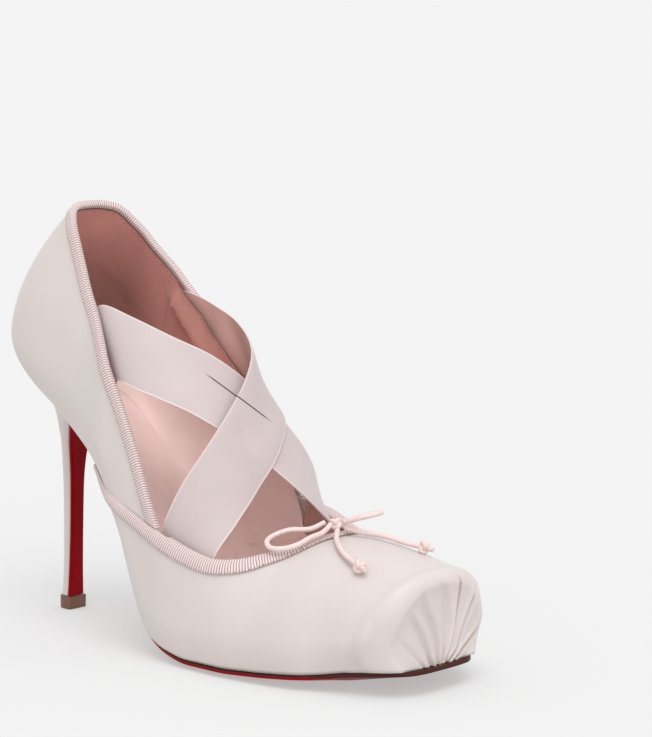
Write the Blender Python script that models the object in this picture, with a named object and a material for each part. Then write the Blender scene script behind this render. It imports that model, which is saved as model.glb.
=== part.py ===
"""Right pump with a square toe box, a low cut waist, two crossed straps and a thin high heel.

Lengths below are in millimetres and become metres when a mesh is made. X runs from heel to
toe, +Y is the wearer's left (the inner side of this right shoe), Z is up, and the origin is
the centre of the top lift's ground face.
"""

import math
from collections import namedtuple

import bmesh
import bpy
import numpy as np
from mathutils import Vector
from mathutils.bvhtree import BVHTree
from mathutils.geometry import barycentric_transform

MM = 0.001
GAP = 0.3  # clearance between pieces that touch
LATERAL = -1
MEDIAL = 1

# ---------------------------------------------------------------- driving sizes
TOE_X = 189.0  # front of the toe face
SEAT_CENTRE_X = 15.7
SEAT_RADIUS = 18.0
TOE_ROUND = 6.0  # radius of the ridge round the toe face
TOE_DISH = 2.0  # how far the toe face sinks inside its ridge
TOE_CORNERS = {LATERAL: 8.0, MEDIAL: 4.6}  # how far back the toe's corners lie behind its middle
TOE_SIDE_ROUND = 7.0  # how far in the ridge turns at each side of the toe face
QUARTER_WALL = 1.6
VAMP_WALL = 1.8
VAMP_LIFT = 0.9  # the vamp lies this far outside the quarter's outer face
QUARTER_END_X = {LATERAL: 92.0, MEDIAL: 99.0}  # the quarter ends here, inside the vamp
BINDING_WIDTH = 4.6
BINDING_THICK = 0.6
VAMP_LEG_X = {LATERAL: 91.0, MEDIAL: 96.0}  # in front of this the vamp's binding has a leg inside
STRAP_THICK = 1.0
INSOLE_THICK = 1.6
TOP_LIFT_HEIGHT = 5.0
CORD_DIAMETER = 2.3

# The last's bottom: height of the sole line and half widths of the feather line to each side.
Sole = namedtuple("Sole", "name x z lateral medial")
SOLE_LINE = (
    Sole("seat back", -2.3, 88.0, 0.0, 0.0),
    Sole("seat", 6.0, 85.3, 16.0, 16.0),
    Sole("seat centre", SEAT_CENTRE_X, 80.4, 18.0, 18.0),
    Sole("seat front", 25.0, 73.2, 18.4, 17.9),
    Sole("waist back", 36.0, 63.8, 19.2, 17.6),
    Sole("waist", 48.0, 52.4, 22.3, 17.8),
    Sole("waist front", 60.0, 37.6, 27.4, 19.8),
    Sole("arch", 68.0, 25.6, 31.4, 22.4),
    Sole("arch foot", 74.5, 15.8, 34.0, 24.6),
    Sole("tread back", 81.5, 8.9, 36.0, 27.0),
    Sole("tread", 92.0, 5.2, 37.8, 30.4),
    Sole("ball back", 104.0, 3.5, 38.5, 33.4),
    Sole("ball", 118.0, 3.5, 38.5, 35.4),
    Sole("ball front", 132.0, 4.1, 37.2, 35.4),
    Sole("toes", 147.0, 5.2, 34.8, 34.0),
    Sole("toe box", 162.0, 6.5, 29.6, 30.6),
    Sole("toe corner back", 175.0, 7.9, 26.2, 27.8),
    Sole("toe corner", 182.0, 8.8, 24.0, 25.8),
    Sole("toe front", 191.0, 9.9, 23.0, 25.0),
)

# The last's sides: outward swell above the feather line, where it is widest, how fast the wall
# leans in above that, and the height of the crown, which is far up behind the instep.
Side = namedtuple("Side", "name x swell swell_height lean crown round")
SIDES = (
    Side("seat", 0.0, 7.0, 24.0, 0.0066, 900.0, 2.2),
    Side("seat centre", SEAT_CENTRE_X, 8.5, 22.0, 0.0075, 900.0, 2.2),
    Side("waist back", 36.0, 9.5, 30.0, 0.0085, 700.0, 2.2),
    Side("waist", 50.0, 9.5, 30.0, 0.0060, 520.0, 2.2),
    Side("waist front", 60.0, 6.5, 24.0, 0.0040, 330.0, 2.2),
    Side("arch foot", 74.0, 3.2, 16.0, 0.0018, 175.0, 2.2),
    Side("tread", 86.0, 2.2, 13.0, 0.0, 112.0, 2.2),
    Side("ball back", 100.0, 1.8, 12.0, 0.0, 82.0, 2.2),
    Side("ball", 114.0, 1.8, 12.0, 0.0, 65.0, 2.25),
    Side("throat", 128.0, 1.8, 12.0, 0.0, 49.8, 2.3),
    Side("vamp", 138.0, 1.8, 12.0, 0.0, 43.6, 2.4),
    Side("toe box back", 152.0, 2.0, 12.0, 0.0, 41.6, 2.5),
    Side("toe box", 168.0, 3.2, 12.0, 0.0, 37.9, 2.55),
    Side("toe box front", 184.0, 5.6, 13.0, 0.0, 33.0, 2.6),
)

# The back of the last: how far the heel curve stands behind the seat and then leans forward.
HEEL_SWELL = 11.1
HEEL_SWELL_HEIGHT = 22.0
HEEL_LEAN = 23.0
HEEL_LEAN_HEIGHT = 48.0

# The quarter's topline: height of the edge at each x, on either side.
Collar = namedtuple("Collar", "name x lateral medial")
COLLAR = (
    Collar("back", 11.0, 159.0, 159.0),
    Collar("back corner", 14.0, 158.5, 157.6),
    Collar("shoulder", 18.0, 156.2, 151.6),
    Collar("upper corner", 22.0, 151.8, 147.6),
    Collar("upper side", 28.0, 141.8, 142.0),
    Collar("side", 37.5, 126.7, 133.9),
    Collar("strap", 50.0, 108.2, 122.4),
    Collar("strap foot", 60.0, 92.1, 113.8),
    Collar("lower side", 70.0, 76.1, 103.8),
    Collar("waist", 78.0, 61.0, 94.6),
    Collar("under the vamp", 85.0, 49.0, 82.0),
    Collar("outer end", 92.0, 37.0, 64.0),
    Collar("inner front", 96.0, 33.0, 51.0),
    Collar("inner end", 99.0, 30.0, 37.0),
)

# The vamp's rows behind the throat: where a row leaves the feather line, where it ends on the
# topline, and the heights it ends at on either side.
Wing = namedtuple("Wing", "name feather_x edge_x lateral medial")
WINGS = (
    Wing("tip", 38.0, 36.8, 64.6, 64.6),
    Wing("wing back", 52.0, 50.0, 59.4, 60.4),
    Wing("wing", 70.0, 68.0, 53.4, 56.8),
    Wing("wing front", 86.0, 84.0, 48.0, 53.8),
    Wing("low side", 100.0, 100.0, 42.6, 51.4),
    Wing("lowest", 110.5, 112.0, 40.2, 49.0),
    Wing("throat side", 117.5, 122.0, 41.0, 46.6),
    Wing("throat corner back", 123.5, 129.5, 43.4, 45.4),
)
# The row through the throat: the share of its turn over the foot, and x there.
Throat = namedtuple("Throat", "name share x")
THROAT = (
    Throat("feather line", 0.0, 128.5),
    Throat("corner", 8 / 12, 133.6),
    Throat("bend", 9 / 12, 136.0),
    Throat("front", 10 / 12, 137.4),
    Throat("inner front", 11 / 12, 138.1),
    Throat("middle", 1.0, 138.4),
)

# The heel from the seat down: height at the heel's axis, slope, and its section.
Ring = namedtuple("Ring", "name z slope back front half")
HEEL_RINGS = (
    Ring("under the seat", 82.0, -0.33, -2.9, 12.1, 13.0),
    Ring("cup", 77.3, -0.27, -3.4, 8.8, 9.3),
    Ring("neck top", 72.0, -0.18, -3.3, 6.2, 6.7),
    Ring("neck", 65.5, -0.08, -2.8, 4.0, 4.8),
    Ring("neck foot", 58.0, 0.0, -2.7, 3.5, 3.8),
    Ring("stem top", 49.0, 0.0, -2.4, 3.2, 3.3),
    Ring("stem", 33.0, 0.0, -2.3, 2.8, 3.2),
    Ring("stem foot", 17.0, 0.0, -2.4, 2.3, 3.4),
    Ring("tip", TOP_LIFT_HEIGHT + GAP, 0.0, -3.1, 1.9, 3.85),
)
SEAT_FRONT_X = 14.8  # the heel's seat ends here, where the outsole turns down

# The outsole behind the seat front: it turns over and runs down the heel's breast.
Breast = namedtuple("Breast", "name x z half")
BREAST = (
    Breast("seat front", 18.6, 78.2, 16.4),
    Breast("turn", 15.2, 79.0, 14.4),
    Breast("turn foot", 11.8, 77.6, 11.4),
    Breast("cup", 8.6, 74.0, 8.4),
    Breast("neck top", 5.9, 68.8, 6.0),
    Breast("neck", 4.3, 62.6, 4.4),
    Breast("stem top", 3.5, 50.0, 3.3),
    Breast("stem", 3.1, 33.0, 3.1),
    Breast("stem foot", 2.6, 17.0, 3.3),
    Breast("tip", 2.2, TOP_LIFT_HEIGHT + GAP, 3.75),
)
BREAST_THICK = 1.0
SOLE_THICK = 3.2
SOLE_EDGE_THICK = 1.5

# The outsole's edge beyond the feather line (less than nothing where it is tucked in), and
# its thickness.
Edge = namedtuple("Edge", "name x margin thick")
SOLE_EDGE = (
    Edge("seat front", 18.6, -1.8, BREAST_THICK),
    Edge("waist", 36.0, -2.0, 1.8),
    Edge("waist front", 60.0, -1.8, 2.6),
    Edge("arch", 74.0, -1.0, 3.0),
    Edge("tread back", 84.0, -0.2, SOLE_THICK),
    Edge("tread", 96.0, 1.0, SOLE_THICK),
    Edge("ball", 110.0, 1.5, SOLE_THICK),
    Edge("toe", 190.0, 1.4, SOLE_THICK),
)

# The straps: opposite edge points of each strap from where it leaves the inside of the
# quarter to where it dips inside the vamp. Only the middle and the direction across are used,
# and every row is brought to the strap's width except at the slanted ends.
StrapRow = namedtuple("StrapRow", "name upper lower")
UNDER_STRAP = (
    StrapRow("in the quarter", (34.5, -20.9, 120.8), (50.1, -24.9, 98.0)),
    StrapRow("quarter edge", (41.7, -21.1, 124.5), (57.6, -27.6, 98.2)),
    StrapRow("side", (52.6, -17.3, 120.7), (65.4, -26.9, 95.8)),
    StrapRow("rise", (65.6, -9.8, 114.1), (73.9, -22.8, 92.5)),
    StrapRow("before the crossing", (78.1, 0.0, 106.7), (83.5, -16.4, 87.7)),
    StrapRow("crossing", (88.0, 9.7, 96.2), (93.6, -9.3, 80.6)),
    StrapRow("past the crossing", (94.9, 18.4, 83.7), (103.5, -1.7, 71.8)),
    StrapRow("fall", (99.6, 26.0, 71.8), (112.1, 6.4, 62.1)),
    StrapRow("inner side", (101.2, 30.7, 60.7), (118.2, 14.4, 52.3)),
    StrapRow("vamp edge", (99.4, 30.7, 49.6), (121.5, 21.6, 43.3)),
    StrapRow("in the vamp", (97.3, 28.6, 40.0), (121.8, 24.3, 35.4)),
)
OVER_STRAP = (
    StrapRow("in the quarter", (36.0, 19.4, 121.0), (60.1, 20.4, 92.6)),
    StrapRow("quarter edge", (42.4, 20.5, 126.6), (66.1, 20.8, 94.2)),
    StrapRow("side", (56.9, 20.7, 122.9), (72.3, 22.0, 90.4)),
    StrapRow("rise", (73.0, 18.4, 116.8), (79.9, 22.5, 87.1)),
    StrapRow("before the crossing", (85.7, 12.2, 109.2), (88.5, 20.3, 82.8)),
    StrapRow("crossing", (92.4, 2.1, 99.7), (96.7, 14.1, 76.7)),
    StrapRow("past the crossing", (94.2, -9.2, 88.4), (102.9, 4.2, 68.8)),
    StrapRow("fall", (92.6, -19.5, 76.0), (107.0, -8.0, 59.8)),
    StrapRow("outer side", (88.9, -27.7, 63.3), (109.0, -20.2, 50.4)),
    StrapRow("vamp edge", (85.6, -32.7, 50.3), (109.0, -30.0, 41.2)),
    StrapRow("in the vamp", (84.0, -33.4, 39.0), (108.4, -32.4, 32.6)),
)
CROSSING = (96.5, 4.0, 82.5)
CROSSING_FACE = (0.66, 0.0, 0.75)  # the way the straps' outer faces look there
STRAP_CLEAR = 0.9  # between the straps' faces where they cross

# The bow's cord lies along these hand placed points.
KNOT = (139.6, 0.0, 52.6)
KNOT_RADIUS = 2.6
OUTER_LOOP = (
    (137.0, -3.3, 53.2),
    (135.2, -9.0, 51.4),
    (131.1, -15.0, 51.4),
    (128.4, -20.0, 49.9),
    (128.8, -24.5, 48.4),
    (132.5, -26.5, 46.8),
    (136.9, -24.3, 46.9),
    (139.7, -20.0, 48.1),
    (140.6, -14.8, 49.9),
    (141.3, -9.0, 51.0),
    (140.2, -3.6, 53.0),
)
INNER_LOOP = (
    (140.53, 3.22, 53.02),
    (141.37, 6.13, 53.51),
    (142.21, 9.04, 53.95),
    (143.62, 11.38, 54.50),
    (146.00, 12.71, 55.27),
    (148.73, 12.67, 56.07),
    (151.08, 11.29, 56.72),
    (152.43, 8.91, 57.06),
    (152.41, 6.18, 56.98),
    (151.05, 3.82, 56.48),
    (148.68, 2.45, 55.68),
    (145.76, 1.66, 54.68),
    (142.83, 0.87, 53.63),
)
NEAR_TAIL = (
    (142.6, -2.6, 51.0),
    (145.2, -5.9, 50.5),
    (149.5, -10.5, 49.6),
    (155.0, -14.6, 47.9),
    (160.0, -17.0, 46.4),
    (164.9, -18.4, 45.2),
)
NEAR_END = (168.2, -19.3, 44.5)
FAR_TAIL = (
    (142.6, 1.6, 51.4),
    (145.8, 3.0, 50.6),
    (149.4, 5.0, 50.0),
    (153.6, 6.8, 49.7),
    (158.2, 8.2, 49.1),
    (162.8, 9.6, 48.0),
    (167.2, 11.0, 47.3),
)
FAR_END = (170.6, 12.2, 46.9)
END_KNOT_RADIUS = 2.3


# ---------------------------------------------------------------- curves
def smooth_steps(knots, values, at):
    """A curve through the values that never overshoots them (monotone cubic)."""
    knots = np.asarray(knots, float)
    values = np.asarray(values, float)
    at = np.clip(np.asarray(at, float), knots[0], knots[-1])
    step = np.diff(knots)
    rise = np.diff(values) / step
    slope = np.concatenate([rise[:1], np.zeros(len(rise) - 1), rise[-1:]])
    same_way = rise[:-1] * rise[1:] > 0
    weight_a = 2 * step[1:] + step[:-1]
    weight_b = step[1:] + 2 * step[:-1]
    safe = np.where(same_way, rise[:-1] * rise[1:], 1.0)
    mean = (weight_a + weight_b) * safe / (weight_a * rise[1:] + weight_b * rise[:-1] + 1e-12 * ~same_way)
    slope[1:-1] = np.where(same_way, mean, 0.0)
    i = np.clip(np.searchsorted(knots, at, side="right") - 1, 0, len(step) - 1)
    t = (at - knots[i]) / step[i]
    a = values[i] * (1 + 2 * t) + step[i] * slope[i] * t
    b = values[i + 1] * (3 - 2 * t) - step[i] * slope[i + 1] * (1 - t)
    return a * (1 - t) ** 2 + b * t**2


def column(table, name, x, key="x"):
    return smooth_steps([getattr(r, key) for r in table], [getattr(r, name) for r in table], x)


def through(points, count):
    """Evenly spread points of a smooth curve through the given ones."""
    points = np.asarray(points, float)
    ends = [2 * points[0] - points[1], 2 * points[-1] - points[-2]]
    p = np.vstack([ends[:1], points, ends[1:]])
    fine = []
    for k in range(1, len(p) - 2):
        t = np.linspace(0, 1, 16, endpoint=False)[:, None]
        a, b, c, d = p[k - 1], p[k], p[k + 1], p[k + 2]
        fine.append(0.5 * (2 * b + (c - a) * t + (2 * a - 5 * b + 4 * c - d) * t**2 + (3 * b - a - 3 * c + d) * t**3))
    fine = np.vstack(fine + [points[-1:]])
    run = np.concatenate([[0], np.cumsum(np.linalg.norm(np.diff(fine, axis=0), axis=1))])
    at = np.linspace(0, run[-1], count)
    return np.stack([np.interp(at, run, fine[:, k]) for k in range(3)], 1)


def ease(value, low, high):
    """0 below low, 1 above high, and a smooth step between."""
    t = np.clip((value - low) / (high - low), 0, 1)
    return t * t * (3 - 2 * t)


# ---------------------------------------------------------------- the last
def sole_z(x):
    return column(SOLE_LINE, "z", x)


def feather_half(x, side):
    """Half width of the feather line at x: a part circle at the seat, round corners at the toe."""
    x = np.asarray(x, float)
    half = column(SOLE_LINE, "lateral" if side == LATERAL else "medial", x)
    back = SEAT_RADIUS**2 - np.minimum(x - SEAT_CENTRE_X, 0) ** 2
    front = np.clip(x - (TOE_X - TOE_ROUND), 0, TOE_ROUND)
    half = half - TOE_ROUND + np.sqrt(TOE_ROUND**2 - front**2)
    return np.where(x < SEAT_CENTRE_X, np.sqrt(np.maximum(back, 0)), half)


def side_swell(x, height):
    """How far the wall stands outside the feather line at this height."""
    swell = column(SIDES, "swell", x)
    low = np.clip(height / column(SIDES, "swell_height", x), 0, 1)
    above = np.maximum(height - column(SIDES, "swell_height", x), 0)
    return swell * (1 - (1 - low) ** 1.8) - column(SIDES, "lean", x) * above**1.8


def heel_shift(x, height):
    """How far the back of the heel moves back, and higher up forward."""
    low = np.clip(height / HEEL_SWELL_HEIGHT, 0, 1)
    above = np.maximum(height - HEEL_SWELL_HEIGHT, 0) / HEEL_LEAN_HEIGHT
    fade = smooth_steps([SEAT_CENTRE_X, 64.0], [1.0, 0.0], x)
    return fade * (HEEL_LEAN * above**1.8 - HEEL_SWELL * (1 - (1 - low) ** 1.8))


def toe_back(x, y, height=0.0):
    """How far a point this far off the middle lies behind the toe's bowed front, less so higher up."""
    reach = np.where(np.asarray(y) < 0, TOE_CORNERS[LATERAL], TOE_CORNERS[MEDIAL])
    reach = reach * (1 - 0.5 * ease(height, 0.0, 26.0))
    return reach * (np.minimum(np.abs(y), 26.0) / 24.0) ** 3.5 * ease(x, 150.0, TOE_X)


def side_point(x, side, height):
    """A point of the wall over the feather line, for x in front of the seat's centre."""
    power = column(SIDES, "round", x)
    inward = (1 - np.clip(height / column(SIDES, "crown", x), 0, 1) ** power) ** (1 / power)
    y = side * (feather_half(x, side) + side_swell(x, height)) * inward
    return np.stack([x + heel_shift(x, height) - toe_back(x, y, height), y, sole_z(x) + height], -1)


def back_point(angle, height):
    """A point of the wall round the seat: angle 0 is straight back, pi/2 is either side."""
    x = SEAT_CENTRE_X - SEAT_RADIUS * np.cos(angle)
    reach = SEAT_RADIUS + side_swell(x, height)
    px = SEAT_CENTRE_X - reach * np.cos(angle) + heel_shift(x, height)
    return np.stack([px, reach * np.sin(angle), sole_z(x) + height], -1)


def collar_z(x, side):
    return column(COLLAR, "lateral" if side == LATERAL else "medial", x)


def collar_height(point_at, side):
    """The height above the feather line at which this column of the wall meets the topline."""
    low, high = 0.0, 90.0
    for _ in range(40):
        middle = (low + high) / 2
        p = point_at(middle)
        if p[2] < collar_z(p[0], side):
            low = middle
        else:
            high = middle
    return low


def quarter_columns():
    """Columns of the quarter from its outer front end, round the heel, to the inner front end."""
    columns = []
    for x in np.linspace(QUARTER_END_X[LATERAL], SEAT_CENTRE_X, 17):
        columns.append((LATERAL, lambda h, x=x: side_point(x, LATERAL, h)))
    for angle in np.linspace(-math.pi / 2, math.pi / 2, 17)[1:-1]:
        side = LATERAL if angle < 0 else MEDIAL
        columns.append((side, lambda h, a=angle: back_point(a, h)))
    for x in np.linspace(SEAT_CENTRE_X, QUARTER_END_X[MEDIAL], 18):
        columns.append((MEDIAL, lambda h, x=x: side_point(x, MEDIAL, h)))
    return columns


def quarter_grid(levels=9):
    """Rows of points of the quarter's outer face, from the feather line up to the topline."""
    grid = []
    for side, point_at in quarter_columns():
        top = collar_height(point_at, side)
        heights = top * np.linspace(0, 1, levels) ** 1.15
        grid.append([point_at(h) for h in heights])
    return np.array(grid)


def arch_row(feather_x, edge_x, edge_z, side, count):
    """Points of the vamp from the feather line up to its edge."""
    t = np.linspace(0, 1, count)
    x = feather_x + (edge_x - feather_x) * t
    power = float(column(SIDES, "round", edge_x))
    crown = float(column(SIDES, "crown", edge_x))
    rise = min(max((edge_z - float(sole_z(edge_x))) / crown, 0.004), 1.0)
    turn = math.asin(rise ** (power / 2)) * t
    height = column(SIDES, "crown", x) * np.sin(turn) ** (2 / column(SIDES, "round", x))
    return side_point(x, side, height)


ROW_HALF = 9  # points of a wing's row from the feather line to its edge
FULL_HALF = 13  # points of a full row from the feather line to the middle
WING_ROWS = 22
TOE_ROWS = 7


def arch_point(x, share, side):
    """The point of the wall this share of the way over the foot, at x."""
    height = column(SIDES, "crown", x) * np.sin(math.pi / 2 * share) ** (2 / column(SIDES, "round", x))
    return side_point(x, side, height)


def wing_rows(side):
    """Rows of one side of the vamp from the feather line to the topline, tip first."""
    knots = range(len(WINGS))
    turns = np.linspace(0, len(WINGS) - 1, WING_ROWS)
    heights = "lateral" if side == LATERAL else "medial"
    wings = [smooth_steps(knots, [getattr(w, key) for w in WINGS], turns) for key in ("feather_x", "edge_x", heights)]
    return [arch_row(*wing, side, ROW_HALF) for wing in zip(*wings)]


def full_rows():
    """Rows right over the foot from the throat forward, each from the outer feather line to the inner."""
    share = np.linspace(0, 1, FULL_HALF)
    throat = np.interp(share, [t.share for t in THROAT], [t.x for t in THROAT])
    ridge_x = TOE_X - TOE_ROUND
    rows = []
    for t in np.linspace(0, 1, TOE_ROWS + 1):
        x = throat * (1 - t) + ridge_x * t
        outer = arch_point(x, share, LATERAL)
        inner = arch_point(x, share, MEDIAL)
        rows.append(np.vstack([outer, inner[::-1][1:]]))
    ridge = rows[-1]
    half = np.abs(ridge[:, 1]).max()
    tall = ridge[:, 2].max() - ridge[0, 2]
    for angle in np.linspace(0, math.pi / 2, 5)[1:]:
        turned = 1 - math.cos(angle)
        x = ridge_x + TOE_ROUND * math.sin(angle)
        rows.append(toe_row(ridge, x, 1 - TOE_SIDE_ROUND * turned / half, 1 - TOE_ROUND * turned / tall))
    for shrink in (0.78, 0.5, 0.2):
        x = TOE_X - TOE_DISH * (1 - shrink**2)
        rows.append(toe_row(ridge, x, shrink * (1 - TOE_SIDE_ROUND / half), shrink * (1 - TOE_ROUND / tall)))
    return rows


def toe_row(ridge, x, narrow, low):
    """The ridge row moved forward to x and drawn in towards the middle of its foot."""
    foot = float(sole_z(x))
    z = foot + (ridge[:, 2] - ridge[0, 2]) * low
    y = ridge[:, 1] * narrow
    return np.stack([x - toe_back(x, y, z - foot), y, z], 1)


# ---------------------------------------------------------------- meshes
def material(name, colour, roughness, metallic=0.0):
    made = bpy.data.materials.new(name)
    made.use_nodes = True
    shader = made.node_tree.nodes["Principled BSDF"]
    shader.inputs["Base Color"].default_value = (*colour, 1.0)
    shader.inputs["Roughness"].default_value = roughness
    shader.inputs["Metallic"].default_value = metallic
    made.diffuse_color = (*colour, 1.0)
    return made


def add_object(name, mesh, finish):
    made = bpy.data.objects.new(name, mesh)
    bpy.context.scene.collection.objects.link(made)
    mesh.materials.append(finish)
    return made


def to_mesh(name, bm, smooth=True):
    mesh = bpy.data.meshes.new(name)
    for vert in bm.verts:
        vert.co *= MM
    bm.to_mesh(mesh)
    bm.free()
    if smooth:
        mesh.shade_smooth()
        mesh.set_sharp_from_angle(angle=math.radians(40))
    return mesh


def grid_sheet(grid):
    """A bmesh sheet over rows of points."""
    bm = bmesh.new()
    verts = [[bm.verts.new(p) for p in row] for row in grid]
    for row, after in zip(verts, verts[1:]):
        for k in range(len(row) - 1):
            bm.faces.new((row[k], row[k + 1], after[k + 1], after[k]))
    return bm, verts


def loft(rings, name):
    """A closed solid through rings of the same number of points, capped at both ends."""
    bm = bmesh.new()
    loops = [[bm.verts.new(p) for p in ring] for ring in rings]
    count = len(loops[0])
    for low, high in zip(loops, loops[1:]):
        for k in range(count):
            n = (k + 1) % count
            bm.faces.new((low[k], low[n], high[n], high[k]))
    bm.faces.new(loops[0][::-1])
    bm.faces.new(loops[-1])
    bmesh.ops.remove_doubles(bm, verts=bm.verts, dist=0.01)
    bmesh.ops.recalc_face_normals(bm, faces=bm.faces)
    return to_mesh(name, bm)


def lift_along_normals(bm, distance, flat_verts):
    """Moves a sheet outwards; the verts on the feather line keep their height."""
    bm.normal_update()
    flat = set(flat_verts)
    for vert in bm.verts:
        move = vert.normal * distance
        if vert in flat:
            move = Vector((move.x, move.y, 0)).normalized() * distance
        vert.co += move


def solidify(piece, thick):
    wall = piece.modifiers.new("Wall", "SOLIDIFY")
    wall.thickness = thick * MM
    wall.offset = -1.0
    wall.use_even_offset = True
    wall.use_quality_normals = True


# ---------------------------------------------------------------- upper
def face_outwards(bm):
    """Turns the sheet so that its lateral side looks towards -Y."""
    bmesh.ops.recalc_face_normals(bm, faces=bm.faces)
    bm.normal_update()
    lean = sum(f.normal.y * f.calc_area() for f in bm.faces if f.calc_center_median().y < -5)
    if lean > 0:
        bmesh.ops.reverse_faces(bm, faces=bm.faces)
        bm.normal_update()


def quarter_sheet():
    """The quarter's outer face, and the points of its topline."""
    bm, verts = grid_sheet(quarter_grid())
    face_outwards(bm)
    return bm, [row[-1].co.copy() for row in verts]


def vamp_sheet():
    """The vamp's outer face, and the points of its topline from tip to tip."""
    bm, full = grid_sheet(full_rows())
    bm.faces.new(full[-1])
    feather = [row[0] for row in full] + [row[-1] for row in full]
    edge = full[0][ROW_HALF - 1 : 1 - ROW_HALF]
    for side in (LATERAL, MEDIAL):
        rows = [[bm.verts.new(p) for p in row] for row in wing_rows(side)]
        rows.append(full[0][:ROW_HALF] if side == LATERAL else full[0][::-1][:ROW_HALF])
        for row, after in zip(rows, rows[1:]):
            for k in range(ROW_HALF - 1):
                bm.faces.new((row[k], row[k + 1], after[k + 1], after[k]))
        feather += [row[0] for row in rows[:-1]]
        tops = [row[-1] for row in rows[:-1]]
        edge = tops + edge if side == LATERAL else edge + tops[::-1]
    face_outwards(bm)
    lift_along_normals(bm, VAMP_LIFT, feather)
    return bm, [v.co.copy() for v in edge]


def make_upper(satin):
    bm, collar = quarter_sheet()
    collar_skin = Skin(bm.copy())
    quarter = add_object("quarter_shell", to_mesh("quarter_shell", bm), satin)
    solidify(quarter, QUARTER_WALL)
    quarter.hide_render = True
    quarter.display_type = "WIRE"
    bm, throat = vamp_sheet()
    vamp_skin = Skin(bm.copy())
    upper = add_object("upper", to_mesh("upper", bm), satin)
    solidify(upper, VAMP_WALL)
    union = upper.modifiers.new("Quarter", "BOOLEAN")
    union.operation = "UNION"
    union.solver = "EXACT"
    union.object = quarter
    return (collar_skin, collar), (vamp_skin, throat)


# ---------------------------------------------------------------- sole, insole and heel
def sole_path(x):
    """A point of the sole line and the direction square to it, in the X-Z plane."""
    step = 0.5
    slope = (sole_z(x + step) - sole_z(x - step)) / (2 * step)
    up = np.array([-slope, 1.0]) / math.hypot(slope, 1.0)
    return np.array([x, float(sole_z(x))]), up


def slab_ring(at, up, near, thick, edge_thick, lateral, medial):
    """A section across the foot: flat towards the sole line, and thinner at its edges away from it."""
    ring = []
    for y in np.linspace(-lateral, medial, 7):
        ring.append((at[0] + up[0] * near, y, at[1] + up[1] * near))
    across = (1.0, 0.88, 0.74, 0.58, 0.0, -0.58, -0.74, -0.88, -1.0)
    for share in across:
        half = medial if share > 0 else lateral
        swell = min((1 - abs(share)) / 0.42, 1.0)
        deep = near + edge_thick + (thick - edge_thick) * swell * (2 - swell)
        ring.append((at[0] + up[0] * deep, share * half, at[1] + up[1] * deep))
    return [(x - float(toe_back(x, y)), y, z) for x, y, z in ring]


def toe_stations(front, last, count):
    """x of the stations round the toe's corners, closer together towards the front."""
    turn = np.linspace(0, math.pi / 2, count)
    return last + (front - last) * np.sin(turn)


def toe_half(x, side, front, corner, margin):
    """Half width of a flat toe that ends at front with round corners."""
    base = float(column(SOLE_LINE, "lateral" if side == LATERAL else "medial", x)) + margin
    past = min(max(x - (front - corner), 0.0), corner)
    return base - corner + math.sqrt(max(corner**2 - past**2, 0.0))


def make_outsole(finish):
    rings = []
    front = TOE_X + 0.8
    corner = 12.0
    stations = list(np.linspace(20.5, 100, 14)) + list(np.linspace(106, front - corner, 7))
    stations += list(toe_stations(front, front - corner, 6)[1:])
    for x in stations:
        at, up = sole_path(x)
        margin = float(column(SOLE_EDGE, "margin", x))
        thick = float(column(SOLE_EDGE, "thick", x))
        edge = min(thick, SOLE_EDGE_THICK)
        thick += (edge - thick) * max(x - 168.0, 0.0) / (front - 168.0)
        lateral = toe_half(x, LATERAL, front, corner, margin)
        medial = toe_half(x, MEDIAL, front, corner, margin)
        if x < 30:
            fade = (x - 20.5) / 9.5
            seat = BREAST[0].half + (x - BREAST[0].x) * 0.1
            lateral = lateral * fade + seat * (1 - fade)
            medial = medial * fade + seat * (1 - fade)
        rings.append(slab_ring(at, -up, GAP, thick, edge, lateral, medial))
    rings = rings[::-1]
    turns = np.linspace(0, len(BREAST) - 1, 15)
    knots = range(len(BREAST))
    xs, zs, halves = [smooth_steps(knots, [getattr(b, k) for b in BREAST], turns) for k in ("x", "z", "half")]
    path = np.stack([xs, zs], 1)
    for k in range(len(path)):
        along = path[min(k + 1, len(path) - 1)] - path[max(k - 1, 0)]
        along /= np.linalg.norm(along)
        if k == len(path) - 1:
            along = np.array([0.0, -1.0])
        out = np.array([-along[1], along[0]])
        rings.append(slab_ring(path[k], out, 0.12, BREAST_THICK, BREAST_THICK - 0.25, halves[k], halves[k]))
    return add_object("outsole", loft(rings, "outsole"), finish)


def make_insole(finish):
    rings = []
    front = TOE_X - 5.5
    corner = 7.0
    back = SEAT_CENTRE_X - SEAT_RADIUS + 2.6
    stations = list(back + (SEAT_CENTRE_X - back) * (1 - np.cos(np.linspace(0.12, math.pi / 2, 6))))
    stations += list(np.linspace(20, front - corner, 13)) + list(toe_stations(front, front - corner, 5)[1:])
    for x in stations:
        at, up = sole_path(x)
        inset = 2.6
        if x < SEAT_CENTRE_X:
            lateral = math.sqrt(max((SEAT_RADIUS - inset) ** 2 - (x - SEAT_CENTRE_X) ** 2, 0.01))
            medial = lateral
        else:
            lateral = toe_half(x, LATERAL, front, corner, -inset)
            medial = toe_half(x, MEDIAL, front, corner, -inset)
        rings.append(slab_ring(at, up, GAP, INSOLE_THICK, INSOLE_THICK - 0.5, lateral, medial))
    return add_object("insole", loft(rings, "insole"), finish)


def d_ring(z, slope, back, front, half, count=15):
    """A section of the heel: round at the back, flat at the breast."""
    centre = back + min(half, front - back)
    ring = []
    for angle in np.linspace(-math.pi / 2, math.pi / 2, count):
        ring.append((centre - (centre - back) * math.cos(angle), half * math.sin(angle)))
    ring += [(front - 0.4, half), (front, half - 0.4), (front, 0.0), (front, 0.4 - half), (front - 0.4, -half)]
    return [(x, y, z + slope * x) for x, y in ring]


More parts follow.
